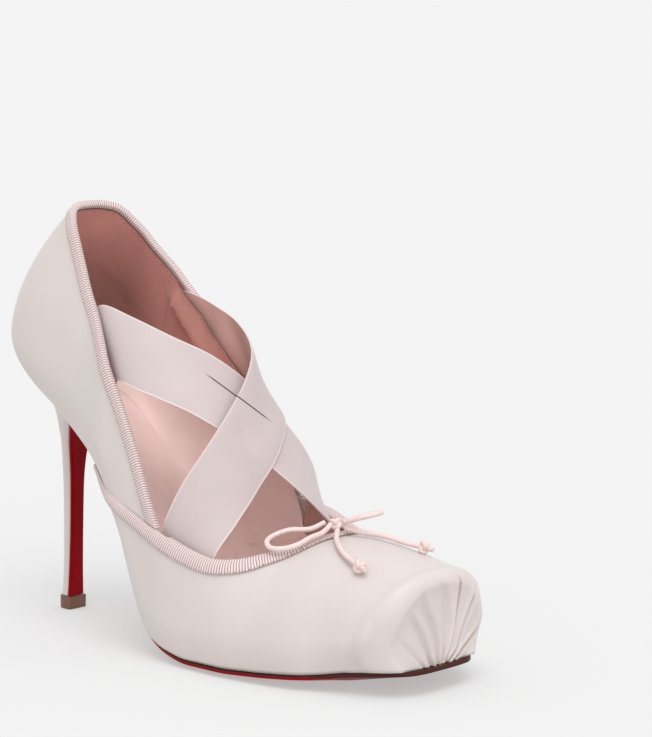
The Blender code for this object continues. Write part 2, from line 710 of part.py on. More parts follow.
def seat_ring(count=15, inset=0.5):
    """The heel's top section, under the round of the seat."""
    limit = math.acos((SEAT_CENTRE_X - SEAT_FRONT_X) / (SEAT_RADIUS - inset))
    ring = []
    for angle in np.linspace(-limit, limit, count):
        x = SEAT_CENTRE_X - (SEAT_RADIUS - inset) * math.cos(angle)
        ring.append((x, (SEAT_RADIUS - inset) * math.sin(angle)))
    half = ring[-1][1]
    front = SEAT_FRONT_X
    ring += [(front + 0.2, half - 0.6), (front + 0.2, half * 0.6), (front, 0.0)]
    ring += [(front + 0.2, -half * 0.6), (front + 0.2, 0.6 - half)]
    points = []
    for x, y in ring:
        at, up = sole_path(x)
        points.append((at[0] - up[0] * GAP, y, at[1] - up[1] * GAP))
    return points


def make_heel(finish):
    turns = np.linspace(0, len(HEEL_RINGS) - 1, 16)
    knots = range(len(HEEL_RINGS))
    columns = [smooth_steps(knots, [getattr(r, key) for r in HEEL_RINGS], turns) for key in Ring._fields[1:]]
    rings = [seat_ring()]
    rings += [d_ring(*row) for row in zip(*columns)]
    return add_object("heel", loft(rings, "heel"), finish)


def make_top_lift(finish):
    rings = [
        d_ring(0.0, 0.0, -3.8, 3.8, 4.2),
        d_ring(0.3, 0.0, -4.0, 4.0, 4.4),
        d_ring(TOP_LIFT_HEIGHT - 0.3, 0.0, -3.9, 3.9, 4.6),
        d_ring(TOP_LIFT_HEIGHT, 0.0, -3.6, 3.6, 4.4),
    ]
    return add_object("top_lift", loft(rings, "top_lift"), finish)


# ---------------------------------------------------------------- bindings
class Skin:
    """A sheet of the upper to lay other pieces on: nearest point and smooth normal."""

    def __init__(self, bm):
        bmesh.ops.triangulate(bm, faces=bm.faces)
        bm.normal_update()
        bm.verts.index_update()
        bm.faces.index_update()
        bm.faces.ensure_lookup_table()
        self.corners = [[v.co.copy() for v in f.verts] for f in bm.faces]
        self.normals = [[v.normal.copy() for v in f.verts] for f in bm.faces]
        self.tree = BVHTree.FromBMesh(bm)

    def near(self, point):
        place, _, index, _ = self.tree.find_nearest(Vector(point))
        a, b, c = self.corners[index]
        weights = barycentric_transform(place, a, b, c, Vector((1, 0, 0)), Vector((0, 1, 0)), Vector((0, 0, 1)))
        normal = sum((n * w for n, w in zip(self.normals[index], weights)), Vector())
        return place, normal.normalized()


def edge_frames(places):
    """Cumulative length, point and direction of every vertex of an edge."""
    spots = [Vector(p) for p in places]
    run = [0.0]
    for a, b in zip(spots, spots[1:]):
        run.append(run[-1] + (b - a).length)
    ways = []
    for k in range(len(spots)):
        ways.append((spots[min(k + 1, len(spots) - 1)] - spots[max(k - 1, 0)]).normalized())
    return run, spots, ways


def frame_at(frames, length):
    run, spots, ways = frames
    length = min(max(length, 0.0), run[-1])
    k = min(max(int(np.searchsorted(run, length)) - 1, 0), len(run) - 2)
    t = (length - run[k]) / max(run[k + 1] - run[k], 1e-9)
    return spots[k].lerp(spots[k + 1], t), ways[k].lerp(ways[k + 1], t).normalized()


def binding_section(frames, length, skin, reach, wall_out, wall_in, leg):
    """Twelve points of a U round the wall's edge at this length along it.

    wall_out and wall_in are how far the wall's faces stand outside and inside the skin; leg is
    how far the section comes down inside the wall, or less than nothing where it stops on top.
    """
    edge, along = frame_at(frames, length)
    _, normal = skin.near(edge)
    normal = (normal - along * normal.dot(along)).normalized()
    down = along.cross(normal).normalized()
    if down.z > 0:
        down = -down
    half_way, half_normal = skin.near(edge + down * reach * 0.5)
    low, low_normal = skin.near(edge + down * reach)
    near, far = wall_out + GAP, wall_out + GAP + BINDING_THICK
    top = GAP + BINDING_THICK
    ring = [low + low_normal * near, low + low_normal * far, half_way + half_normal * far]
    ring += [edge + normal * far - down * (top - 0.3), edge + normal * (far - 0.3) - down * top]
    inner_near, inner_far = -wall_in - GAP, -wall_in - GAP - BINDING_THICK
    if leg >= 0:
        foot, foot_normal = skin.near(edge + down * leg)
        foot = foot - down * max(GAP - leg, 0.0)
        ring += [edge + normal * (inner_far + 0.3) - down * top, edge + normal * inner_far - down * (top - 0.3)]
        ring += [foot + foot_normal * inner_far, foot + foot_normal * inner_near]
        ring += [edge + normal * inner_near - down * GAP]
    else:
        for lift in (top, top - 0.1, top - 0.2, GAP + 0.1, GAP):
            ring.append(edge + normal * GAP - down * lift)
    ring += [edge + normal * near - down * GAP, half_way + half_normal * near]
    return ring


def trimmed(section, lengths, start, end, blend):
    """Sections at the given lengths, each of whose points stops where start and end tell it to."""
    first = [start(k) for k in range(12)]
    last = [end(k) for k in range(12)]
    low, high = lengths[0], lengths[-1]
    cache = {}
    rings = []
    for length in lengths:
        ring = []
        for k in range(12):
            at = length
            if length < low + blend:
                at = first[k] + (length - low) * (low + blend - first[k]) / blend
            if length > high - blend:
                at = last[k] - (high - length) * (last[k] - high + blend) / blend
            key = round(at, 4)
            if key not in cache:
                cache[key] = section(at)
            ring.append(cache[key][k])
        rings.append(ring)
    return rings


def make_collar_binding(skin, places, finish):
    frames = edge_frames(places)
    total = frames[0][-1]

    def section(length):
        return binding_section(frames, length, skin, BINDING_WIDTH, 0.0, QUARTER_WALL, BINDING_WIDTH)

    def above_vamp(length, k):
        p = section(length)[k]
        return p.z - column(WINGS, "lateral" if p.y < 0 else "medial", p.x, "edge_x") - 1.6

    def crossing(k, inside, outside):
        for _ in range(30):
            middle = (inside + outside) / 2
            if above_vamp(middle, k) > 0:
                inside = middle
            else:
                outside = middle
        return inside

    low = min(crossing(k, total / 2, 0.0) for k in range(12))
    high = max(crossing(k, total / 2, total) for k in range(12))
    inner = [r for r in frames[0] if low + 12 < r < high - 12]
    lengths = np.concatenate([np.linspace(low, low + 12, 5), inner, np.linspace(high - 12, high, 5)])
    rings = trimmed(section, lengths, lambda k: crossing(k, total / 2, 0.0), lambda k: crossing(k, total / 2, total), 12)
    return add_object("collar_binding", loft(rings, "collar_binding"), finish)


def make_vamp_binding(skin, places, finish):
    frames = edge_frames(places)
    total = frames[0][-1]

    def section(length):
        edge, _ = frame_at(frames, length)
        room = float(smooth_steps([40.0, 46.0, 52.0], [2.0, 3.6, BINDING_WIDTH], edge.x))
        past = edge.x - VAMP_LEG_X[LATERAL if edge.y < 0 else MEDIAL]
        leg = -1.0 if past < 0 else min(max(past - 5.6, 0.0) * 1.2, BINDING_WIDTH)
        wall_in = VAMP_WALL + 0.3
        return binding_section(frames, length, skin, room, 0.15, wall_in, leg)

    low = next(r for r, p in zip(frames[0], frames[1]) if p.x > 41)
    high = next(r for r, p in zip(frames[0][::-1], frames[1][::-1]) if p.x > 41)
    rings = [section(length) for length in frames[0] if low <= length <= high]
    return add_object("vamp_binding", loft(rings, "vamp_binding"), finish)


# ---------------------------------------------------------------- straps and bow
def tucked(point, skins):
    """The point moved in where it would touch a wall, its binding or the lining behind them."""
    place = Vector(point)
    for skin, depth in skins:
        near, normal = skin.near(place)
        off = place - near
        out = off.dot(normal)
        past = (off - normal * out).length
        need = -depth * min(max(1.0 - (past - 1.2) / 5.0, 0.0), 1.0)
        if need < 0 and need < out < 6.0:
            place += normal * (need - out)
    return place


def lifted(point, below):
    """The point moved out where it would touch the strap below."""
    place = Vector(point)
    near, normal = below.near(place)
    if normal.dot(Vector(CROSSING_FACE)) < 0:
        normal = -normal
    off = place - near
    out = off.dot(normal)
    past = (off - normal * out).length
    share = min(max(1.0 - (past - 1.2) / 5.0, 0.0), 1.0)
    return place + normal * max(STRAP_THICK + STRAP_CLEAR - out, 0.0) * share


def make_strap(name, table, below, skins, finish, columns=5):
    rows = len(table) * 2 + 1
    upper = through([r.upper for r in table], rows)
    lower = through([r.lower for r in table], rows)
    across = np.linspace(0, 1, columns)
    middle = np.array([[upper[j] * (1 - t) + lower[j] * t for t in across] for j in range(rows)])
    middle = np.array([[tucked(p, skins) for p in row] for row in middle])
    if below:
        middle = np.array([[lifted(p, below) for p in row] for row in middle])
    normals = np.cross(np.gradient(middle, axis=0), np.gradient(middle, axis=1))
    nearest = np.argmin(np.linalg.norm(middle - np.array(CROSSING), axis=2))
    facing = normals.reshape(-1, 3)[nearest] @ np.array(CROSSING_FACE)
    normals *= np.sign(facing) / np.linalg.norm(normals, axis=2, keepdims=True)
    rings = []
    for j in range(rows):
        outside = [middle[j, k] + normals[j, k] * STRAP_THICK / 2 for k in range(columns)]
        inside = [middle[j, k] - normals[j, k] * STRAP_THICK / 2 for k in range(columns)]
        rings.append(outside + inside[::-1])
    add_object(name, loft(rings, name), finish)
    return Skin(grid_sheet(middle)[0])


def make_cord(name, points, finish, count):
    curve = bpy.data.curves.new(name, "CURVE")
    curve.dimensions = "3D"
    curve.bevel_depth = CORD_DIAMETER / 2 * MM
    curve.bevel_resolution = 2
    curve.use_fill_caps = True
    spline = curve.splines.new("POLY")
    path = through(points, count)
    spline.points.add(len(path) - 1)
    for point, place in zip(spline.points, path):
        point.co = (*(place * MM), 1.0)
    curve.materials.append(finish)
    made = bpy.data.objects.new(name, curve)
    bpy.context.scene.collection.objects.link(made)
    return made


def make_knot(name, centre, radius, stretch, finish):
    bm = bmesh.new()
    bmesh.ops.create_icosphere(bm, subdivisions=2, radius=radius)
    for vert in bm.verts:
        vert.co = Vector((vert.co.x * stretch[0], vert.co.y * stretch[1], vert.co.z * stretch[2])) + Vector(centre)
    return add_object(name, to_mesh(name, bm), finish)


# ---------------------------------------------------------------- the shoe
def clear_scene():
    for thing in list(bpy.data.objects):
        bpy.data.objects.remove(thing, do_unlink=True)


def main():
    clear_scene()
    satin = material("satin", (0.86, 0.72, 0.70), 0.35)
    red = material("red leather", (0.55, 0.012, 0.03), 0.3)
    lining = material("lining leather", (0.83, 0.42, 0.33), 0.5)
    brown = material("heel tip", (0.12, 0.05, 0.025), 0.45)
    ribbon = material("binding ribbon", (0.80, 0.56, 0.55), 0.6)
    elastic = material("elastic", (0.82, 0.66, 0.68), 0.6)
    (collar_skin, collar), (vamp_skin, throat) = make_upper(satin)
    make_outsole(red)
    make_insole(lining)
    make_heel(satin)
    make_top_lift(brown)
    make_collar_binding(collar_skin, collar, ribbon)
    make_vamp_binding(vamp_skin, throat, ribbon)
    skins = ((collar_skin, QUARTER_WALL + BINDING_THICK + 2 * GAP + STRAP_THICK / 2 + 0.4),)
    skins += ((vamp_skin, VAMP_WALL + BINDING_THICK + 2 * GAP + STRAP_THICK / 2 + 0.7),)
    under = make_strap("strap_under", UNDER_STRAP, None, skins, elastic)
    make_strap("strap_over", OVER_STRAP, under, skins, elastic)
    make_knot("bow_knot", KNOT, KNOT_RADIUS, (1.0, 1.0, 0.85), satin)
    make_cord("bow_loop_outer", OUTER_LOOP, satin, 15)
    make_cord("bow_loop_inner", INNER_LOOP, satin, 13)
    make_cord("bow_tail_outer", NEAR_TAIL, satin, 8)
    make_cord("bow_tail_inner", FAR_TAIL, satin, 8)
    make_knot("bow_end_outer", NEAR_END, END_KNOT_RADIUS, (1.0, 1.0, 0.9), satin)
    make_knot("bow_end_inner", FAR_END, END_KNOT_RADIUS, (1.0, 1.0, 0.9), satin)


main()
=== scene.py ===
"""Looks of a right satin pump with a pleated square toe, two crossed straps and a thin high heel.

Tables and lengths below are in millimetres, in the shoe's own frame: X runs from heel to toe,
+Y is the wearer's left, which is the inner side, Z is up, and the origin is the centre of the
top lift's ground face.
"""

import math
from collections import namedtuple

import bmesh
import bpy
import numpy as np
from bpy.props import FloatProperty, FloatVectorProperty, IntProperty, PointerProperty
from mathutils import Matrix, Vector
from mathutils.bvhtree import BVHTree
from mathutils.geometry import barycentric_transform
from mathutils.kdtree import KDTree


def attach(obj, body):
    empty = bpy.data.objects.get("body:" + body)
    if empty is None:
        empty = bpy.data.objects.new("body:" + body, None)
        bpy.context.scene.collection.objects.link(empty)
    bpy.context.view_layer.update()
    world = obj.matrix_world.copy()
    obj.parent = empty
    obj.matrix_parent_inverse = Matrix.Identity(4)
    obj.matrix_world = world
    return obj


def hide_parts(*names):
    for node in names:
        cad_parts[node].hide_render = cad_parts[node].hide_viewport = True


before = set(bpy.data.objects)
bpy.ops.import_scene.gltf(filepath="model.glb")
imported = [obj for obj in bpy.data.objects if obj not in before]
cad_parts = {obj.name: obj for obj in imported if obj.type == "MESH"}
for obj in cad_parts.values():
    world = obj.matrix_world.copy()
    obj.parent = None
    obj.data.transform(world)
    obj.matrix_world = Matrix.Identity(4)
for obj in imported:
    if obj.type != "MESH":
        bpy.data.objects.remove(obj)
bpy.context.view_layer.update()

bl_info = {
    "name": "Satin pump",
    "version": (1, 0, 0),
    "blender": (4, 5, 0),
    "location": "View3D > Sidebar > Pump",
    "description": "Builds the looks of a square-toed satin pump round its solids",
    "category": "Object",
}

MM = 0.001
LATERAL = -1
MEDIAL = 1

# ---------------------------------------------------------------- driving sizes, in millimetres
GAP = 0.3
TOE_X = 189.0
SEAT_CENTRE_X = 15.7
SEAT_RADIUS = 18.0
TOE_ROUND = 4.2
TOE_DISH = 2.0
TOE_CORNERS = {LATERAL: 8.0, MEDIAL: 4.6}
TOE_SIDE_ROUND = 7.0
QUARTER_WALL = 1.6
VAMP_WALL = 1.8
VAMP_LIFT = 0.9
WING_TIP = 37.4  # the wings are cut off behind this
COLLAR_RIBBON_SHORTER = 1.7  # than the vamp's ribbon, on the outside
COLLAR_RIBBON_INSIDE = 0.9  # how far it comes down inside
COLLAR_RIBBON_SUNK = 0.5  # its inner side, into the lining
STRAP_OFF_LINING = 0.5  # the straps' gap to the wall that they go behind
DARK_EDGE = 0.6  # height of the sole's dark edge
DARK_EDGE_TOE = 1.2  # what the toe adds to it
# How far the vamp's ribbon comes down from its edge at each x, before its full width.
VAMP_RIBBON_X = (36.0, 42.0, 52.0, 70.0, 95.0)
VAMP_RIBBON_REACH = (1.5, 2.2, 3.0, 3.3)
VAMP_RIBBON_PAST = 0.8  # how far it runs on past the wing's tip
QUARTER_END_X = {LATERAL: 92.0, MEDIAL: 99.0}
VAMP_LEG_X = {LATERAL: 91.0, MEDIAL: 96.0}
TOP_LIFT_HEIGHT = 5.0
SEAT_FRONT_X = 14.8
BREAST_THICK = 1.0
SOLE_THICK = 3.2
SOLE_EDGE_THICK = 1.5
INSOLE_THICK = 1.6

# The last's bottom: height of the sole line and half widths of the feather line to each side.
Sole = namedtuple("Sole", "name x z lateral medial")
SOLE_LINE = (
    Sole("seat back", -2.3, 88.0, 0.0, 0.0),
    Sole("seat", 6.0, 85.3, 16.0, 16.0),
    Sole("seat centre", SEAT_CENTRE_X, 80.4, 18.0, 18.0),
    Sole("seat front", 25.0, 73.2, 18.4, 17.9),
    Sole("waist back", 36.0, 63.8, 19.2, 17.6),
    Sole("waist", 48.0, 52.4, 22.3, 17.8),
    Sole("waist front", 60.0, 37.6, 27.4, 19.8),
    Sole("arch", 68.0, 25.6, 31.4, 22.4),
    Sole("arch foot", 74.5, 15.8, 34.0, 24.6),
    Sole("tread back", 81.5, 8.9, 36.0, 27.0),
    Sole("tread", 92.0, 5.2, 37.8, 30.4),
    Sole("ball back", 104.0, 3.5, 38.5, 33.4),
    Sole("ball", 118.0, 3.5, 38.5, 35.4),
    Sole("ball front", 132.0, 4.1, 37.2, 35.4),
    Sole("toes", 147.0, 5.2, 34.8, 34.0),
    Sole("toe box", 162.0, 6.5, 29.6, 30.6),
    Sole("toe corner back", 175.0, 7.9, 26.2, 27.8),
    Sole("toe corner", 182.0, 8.8, 24.0, 25.8),
    Sole("toe front", 191.0, 9.9, 23.0, 25.0),
)

# The last's sides: outward swell above the feather line, where it is widest, how fast the wall
# leans in above that, and the height of the crown, which is far up behind the instep.
Side = namedtuple("Side", "name x swell swell_height lean crown round")
SIDES = (
    Side("seat", 0.0, 7.0, 24.0, 0.0066, 900.0, 2.2),
    Side("seat centre", SEAT_CENTRE_X, 8.5, 22.0, 0.0075, 900.0, 2.2),
    Side("waist back", 36.0, 9.5, 30.0, 0.0085, 700.0, 2.2),
    Side("waist", 50.0, 9.5, 30.0, 0.0060, 520.0, 2.2),
    Side("waist front", 60.0, 6.5, 24.0, 0.0040, 330.0, 2.2),
    Side("arch foot", 74.0, 3.2, 16.0, 0.0018, 175.0, 2.2),
    Side("tread", 86.0, 2.2, 13.0, 0.0, 112.0, 2.2),
    Side("ball back", 100.0, 1.8, 12.0, 0.0, 82.0, 2.2),
    Side("ball", 114.0, 1.8, 12.0, 0.0, 65.0, 2.25),
    Side("throat", 128.0, 1.8, 12.0, 0.0, 49.8, 2.3),
    Side("vamp", 138.0, 1.8, 12.0, 0.0, 43.6, 2.4),
    Side("toe box back", 152.0, 2.0, 12.0, 0.0, 41.6, 2.5),
    Side("toe box", 168.0, 3.2, 12.0, 0.0, 37.9, 2.55),
    Side("toe box front", 184.0, 5.6, 13.0, 0.0, 33.0, 2.6),
)
SWELL_POWER = 1.8
HEEL_SWELL = 11.1
HEEL_SWELL_HEIGHT = 22.0
HEEL_LEAN = 23.0
HEEL_LEAN_HEIGHT = 48.0

# The quarter's topline: height of the edge at each x, on either side.
Collar = namedtuple("Collar", "name x lateral medial")
COLLAR = (
    Collar("back", 11.0, 159.0, 159.0),
    Collar("back corner", 14.0, 158.5, 157.6),
    Collar("shoulder", 18.0, 156.2, 151.6),
    Collar("upper corner", 22.0, 151.8, 147.6),
    Collar("upper side", 28.0, 141.8, 142.0),
    Collar("side", 37.5, 126.7, 133.9),
    Collar("strap", 50.0, 108.2, 122.4),
    Collar("strap foot", 60.0, 92.1, 113.8),
    Collar("lower side", 70.0, 76.1, 103.8),
    Collar("waist", 78.0, 61.0, 94.6),
    Collar("under the vamp", 85.0, 49.0, 82.0),
    Collar("outer end", 92.0, 37.0, 64.0),
    Collar("inner front", 96.0, 33.0, 51.0),
    Collar("inner end", 99.0, 30.0, 37.0),
)

# The vamp's rows behind the throat: where a row leaves the feather line, where it ends on the
# topline, and the heights it ends at on either side.
Wing = namedtuple("Wing", "name feather_x edge_x lateral medial")
WINGS = (
    Wing("tip", 38.0, 36.8, 64.6, 64.6),
    Wing("wing back", 52.0, 50.0, 59.4, 60.4),
    Wing("wing", 70.0, 68.0, 53.4, 56.8),
    Wing("wing front", 86.0, 84.0, 48.0, 53.8),
    Wing("low side", 100.0, 100.0, 42.6, 51.4),
    Wing("lowest", 110.5, 112.0, 40.2, 49.0),
    Wing("throat side", 117.5, 122.0, 41.0, 46.6),
    Wing("throat corner back", 123.5, 129.5, 43.4, 45.4),
)
# The row through the throat: the share of its turn over the foot, and x there.
Throat = namedtuple("Throat", "name share x")
THROAT = (
    Throat("feather line", 0.0, 128.5),
    Throat("corner", 8 / 12, 133.6),
    Throat("bend", 9 / 12, 136.0),
    Throat("front", 10 / 12, 137.4),
    Throat("inner front", 11 / 12, 138.1),
    Throat("middle", 1.0, 138.4),
)

# The heel from the seat down: height at the heel's axis, slope, and its section.
Ring = namedtuple("Ring", "name z slope back front half")
HEEL_RINGS = (
    Ring("under the seat", 82.0, -0.33, -2.9, 12.1, 13.0),
    Ring("cup", 77.3, -0.27, -3.4, 8.8, 9.3),
    Ring("neck top", 72.0, -0.18, -3.3, 6.2, 6.7),
    Ring("neck", 65.5, -0.08, -2.8, 4.0, 4.8),
    Ring("neck foot", 58.0, 0.0, -2.7, 3.5, 3.8),
    Ring("stem top", 49.0, 0.0, -2.4, 3.2, 3.3),
    Ring("stem", 33.0, 0.0, -2.3, 2.8, 3.2),
    Ring("stem foot", 17.0, 0.0, -2.4, 2.3, 3.4),
    Ring("tip", TOP_LIFT_HEIGHT + GAP, 0.0, -3.1, 1.9, 3.85),
)

# The outsole behind the seat front: it turns over and runs down the heel's breast.
Breast = namedtuple("Breast", "name x z half")
BREAST = (
    Breast("seat front", 18.6, 78.2, 16.4),
    Breast("turn", 15.2, 79.0, 14.4),
    Breast("turn foot", 11.8, 77.6, 11.4),
    Breast("cup", 8.6, 74.0, 8.4),
    Breast("neck top", 5.9, 68.8, 6.0),
    Breast("neck", 4.3, 62.6, 4.4),
    Breast("stem top", 3.5, 50.0, 3.3),
    Breast("stem", 3.1, 33.0, 3.1),
    Breast("stem foot", 2.6, 17.0, 3.3),
    Breast("tip", 2.2, TOP_LIFT_HEIGHT + GAP, 3.75),
)

# The outsole's edge beyond the feather line (less than nothing where it is tucked in), and
# its thickness.
Edge = namedtuple("Edge", "name x margin thick")
SOLE_EDGE = (
    Edge("seat front", 18.6, -1.8, BREAST_THICK),
    Edge("waist", 36.0, -2.0, 1.8),
    Edge("waist front", 60.0, -1.8, 2.6),
    Edge("arch", 74.0, -1.0, 3.0),
    Edge("tread back", 84.0, -0.2, SOLE_THICK),
    Edge("tread", 96.0, 1.0, SOLE_THICK),
    Edge("ball", 110.0, 1.5, SOLE_THICK),
    Edge("toe", 190.0, 1.4, SOLE_THICK),
)

# The straps: opposite edge points of each strap from inside the quarter to inside the vamp.
StrapRow = namedtuple("StrapRow", "name upper lower")
UNDER_STRAP = (
    StrapRow("in the quarter", (34.5, -20.9, 120.8), (50.1, -24.9, 98.0)),
    StrapRow("quarter edge", (41.7, -21.1, 124.5), (57.6, -27.6, 98.2)),
    StrapRow("side", (52.6, -17.3, 120.7), (65.4, -26.9, 95.8)),
    StrapRow("rise", (65.6, -9.8, 114.1), (73.9, -22.8, 92.5)),
    StrapRow("before the crossing", (78.1, 0.0, 106.7), (83.5, -16.4, 87.7)),
    StrapRow("crossing", (88.0, 9.7, 96.2), (93.6, -9.3, 80.6)),
    StrapRow("past the crossing", (94.9, 18.4, 83.7), (103.5, -1.7, 71.8)),
    StrapRow("fall", (99.6, 26.0, 71.8), (112.1, 6.4, 62.1)),
    StrapRow("inner side", (101.2, 30.7, 60.7), (118.2, 14.4, 52.3)),
    StrapRow("vamp edge", (99.4, 30.7, 49.6), (121.5, 21.6, 43.3)),
    StrapRow("in the vamp", (97.3, 28.6, 40.0), (121.8, 24.3, 35.4)),
)
OVER_STRAP = (
    StrapRow("in the quarter", (36.0, 19.4, 121.0), (60.1, 20.4, 92.6)),
    StrapRow("quarter edge", (42.4, 20.5, 126.6), (66.1, 20.8, 94.2)),
    StrapRow("side", (56.9, 20.7, 122.9), (72.3, 22.0, 90.4)),
    StrapRow("rise", (73.0, 18.4, 116.8), (79.9, 22.5, 87.1)),
    StrapRow("before the crossing", (85.7, 12.2, 109.2), (88.5, 20.3, 82.8)),
    StrapRow("crossing", (92.4, 2.1, 99.7), (96.7, 14.1, 76.7)),
    StrapRow("past the crossing", (94.2, -9.2, 88.4), (102.9, 4.2, 68.8)),
    StrapRow("fall", (92.6, -19.5, 76.0), (107.0, -8.0, 59.8)),
    StrapRow("outer side", (88.9, -27.7, 63.3), (109.0, -20.2, 50.4)),
    StrapRow("vamp edge", (85.6, -32.7, 50.3), (109.0, -30.0, 41.2)),
    StrapRow("in the vamp", (84.0, -33.4, 39.0), (108.4, -32.4, 32.6)),
)
CROSSING = (96.5, 4.0, 82.5)
CROSSING_FACE = (0.66, 0.0, 0.75)
STRAP_CLEAR = 0.9
# Where the crossing straps are tacked together: the ends of the shallow sunk line there, which gets a dark
# line of painted shade, and the direction square to its plane.
CREASE = ((78.7, -6.7, 102.1), (99.1, 9.7, 83.3))
CREASE_SIDE = (-0.3155, -0.5186, -0.795)
# The lining's seam, on its inner side.
SEAM = (
    (30.6, 20.9, 131.0),
    (30.6, 22.6, 124.0),
    (30.0, 23.1, 118.0),
    (27.6, 24.0, 112.0),
    (24.6, 24.7, 106.5),
)

# The toe's gathers: depth, width, whether the fold is pressed sharp, and its line on the toe's
# face, as (y, z) points from the ridge down to the gather.
Pleat = namedtuple("Pleat", "name depth width sharp line")
PLEATS = (
    Pleat(
        "inner side", 1.7, 0.6, 1,
        ((29.6, 29.0), (27.7, 24.5), (23.1, 18.1), (14.5, 12.8), (8.4, 9.0)),
    ),
    Pleat(
        "inner", 1.9, 0.6, 1,
        ((21.4, 39.0), (20.1, 35.5), (17.3, 27.2), (12.8, 18.4), (10.2, 13.3), (5.2, 9.2)),
    ),
    Pleat(
        "inner middle", 1.7, 0.55, 1,
        ((9.0, 41.0), (9.6, 38.7), (10.6, 32.0), (9.2, 23.1), (6.9, 16.3), (3.7, 9.2)),
    ),
    Pleat(
        "middle", 1.12, 1.3, 0,
        ((-2.2, 42.0), (-1.1, 39.4), (2.3, 34.2), (4.2, 28.3), (4.9, 21.4), (2.4, 9.4)),
    ),
    Pleat(
        "outer middle", 1.20, 1.3, 0,
        ((-10.6, 38.0), (-9.4, 35.2), (-6.5, 28.9), (-2.8, 22.7), (-0.6, 16.8), (0.4, 9.4)),
    ),
    Pleat(
        "outer", 1.12, 1.2, 0,
        ((-15.4, 31.0), (-13.9, 28.4), (-10.2, 22.8), (-6.8, 17.1), (-3.2, 9.4)),
    ),
    Pleat("outer side", 0.35, 1.2, 0, ((-21.0, 24.0), (-17.5, 19.4), (-12.5, 14.6), (-7.2, 9.4))),
)

# The bow's cord lies along these points, in the order it is tied.
KNOT = (139.6, 0.0, 52.6)
OUTER_LOOP = (
    (137.0, -3.3, 53.2),
    (135.2, -9.0, 51.4),
    (131.1, -15.0, 51.4),
    (128.4, -20.0, 49.9),
    (128.8, -24.5, 48.4),
    (132.5, -26.5, 46.8),
    (136.9, -24.3, 46.9),
    (139.7, -20.0, 48.1),
    (140.6, -14.8, 49.9),
    (141.3, -9.0, 51.0),
    (140.2, -3.6, 53.0),
)
INNER_LOOP = (
    (140.53, 3.22, 53.02),
    (141.37, 6.13, 53.51),
    (142.21, 9.04, 53.95),
    (143.62, 11.38, 54.50),
    (146.00, 12.71, 55.27),
    (148.73, 12.67, 56.07),
    (151.08, 11.29, 56.72),
    (152.43, 8.91, 57.06),
    (152.41, 6.18, 56.98),
    (151.05, 3.82, 56.48),
    (148.68, 2.45, 55.68),
    (145.76, 1.66, 54.68),
    (142.83, 0.87, 53.63),
)
OUTER_TAIL = (
    (142.6, -2.6, 51.0),
    (145.2, -5.9, 50.5),
    (149.5, -10.5, 49.6),
    (155.0, -14.6, 47.9),
    (160.0, -17.0, 46.4),
    (164.9, -18.4, 45.2),
)
OUTER_END = (168.2, -19.3, 44.5)
INNER_TAIL = (
    (142.6, 1.6, 51.4),
    (145.8, 3.0, 50.6),
    (149.4, 5.0, 50.0),
    (153.6, 6.8, 49.7),
    (158.2, 8.2, 49.1),
    (162.8, 9.6, 48.0),
    (167.2, 11.0, 47.3),
)
INNER_END = (170.6, 12.2, 46.9)
OUTER_STUB = ((168.2, -19.3, 44.5), (171.6, -20.2, 43.8))
INNER_STUB = ((170.6, 12.2, 46.9), (174.2, 13.0, 46.3))




# ---------------------------------------------------------------- curves
def smooth_steps(knots, values, at):
    """A curve through the values that never overshoots them (monotone cubic)."""
    knots = np.asarray(knots, float)
    values = np.asarray(values, float)
    at = np.clip(np.asarray(at, float), knots[0], knots[-1])
    step = np.diff(knots)
    rise = np.diff(values) / step
    slope = np.concatenate([rise[:1], np.zeros(len(rise) - 1), rise[-1:]])
    same_way = rise[:-1] * rise[1:] > 0
    weight_a = 2 * step[1:] + step[:-1]
    weight_b = step[1:] + 2 * step[:-1]
    safe = np.where(same_way, rise[:-1] * rise[1:], 1.0)
    mean = (weight_a + weight_b) * safe / (weight_a * rise[1:] + weight_b * rise[:-1] + 1e-12 * ~same_way)
    slope[1:-1] = np.where(same_way, mean, 0.0)
    i = np.clip(np.searchsorted(knots, at, side="right") - 1, 0, len(step) - 1)
    t = (at - knots[i]) / step[i]
    a = values[i] * (1 + 2 * t) + step[i] * slope[i] * t
    b = values[i + 1] * (3 - 2 * t) - step[i] * slope[i + 1] * (1 - t)
    return a * (1 - t) ** 2 + b * t**2


def column(table, name, x, key="x"):
    return smooth_steps([getattr(r, key) for r in table], [getattr(r, name) for r in table], x)


def table_curve(table, names, count):
    """The named columns of a table, read evenly from its first row to its last."""
    knots = range(len(table))
    turns = np.linspace(0, len(table) - 1, count)
    return [smooth_steps(knots, [getattr(r, name) for r in table], turns) for name in names]


def through(points, count):
    """Evenly spread points of a smooth curve through the given ones."""
    points = np.asarray(points, float)
    ends = [2 * points[0] - points[1], 2 * points[-1] - points[-2]]
    p = np.vstack([ends[:1], points, ends[1:]])
    fine = []
    for k in range(1, len(p) - 2):
        t = np.linspace(0, 1, 16, endpoint=False)[:, None]
        a, b, c, d = p[k - 1], p[k], p[k + 1], p[k + 2]
        bend = (2 * a - 5 * b + 4 * c - d) * t**2
        twist = (3 * b - a - 3 * c + d) * t**3
        fine.append(0.5 * (2 * b + (c - a) * t + bend + twist))
    fine = np.vstack(fine + [points[-1:]])
    run = lengths_along(fine)
    at = np.linspace(0, run[-1], count)
    return np.stack([np.interp(at, run, fine[:, k]) for k in range(3)], 1)


def lengths_along(points):
    """How far along a line each of its points is."""
    steps = np.linalg.norm(np.diff(np.asarray(points, float), axis=0), axis=1)
    return np.concatenate([[0.0], np.cumsum(steps)])


def ease(value, low, high):
    """0 below low, 1 above high, and a smooth step between."""
    t = np.clip((value - low) / (high - low), 0, 1)
    return t * t * (3 - 2 * t)


# ---------------------------------------------------------------- the last
def sole_z(x):
    return column(SOLE_LINE, "z", x)


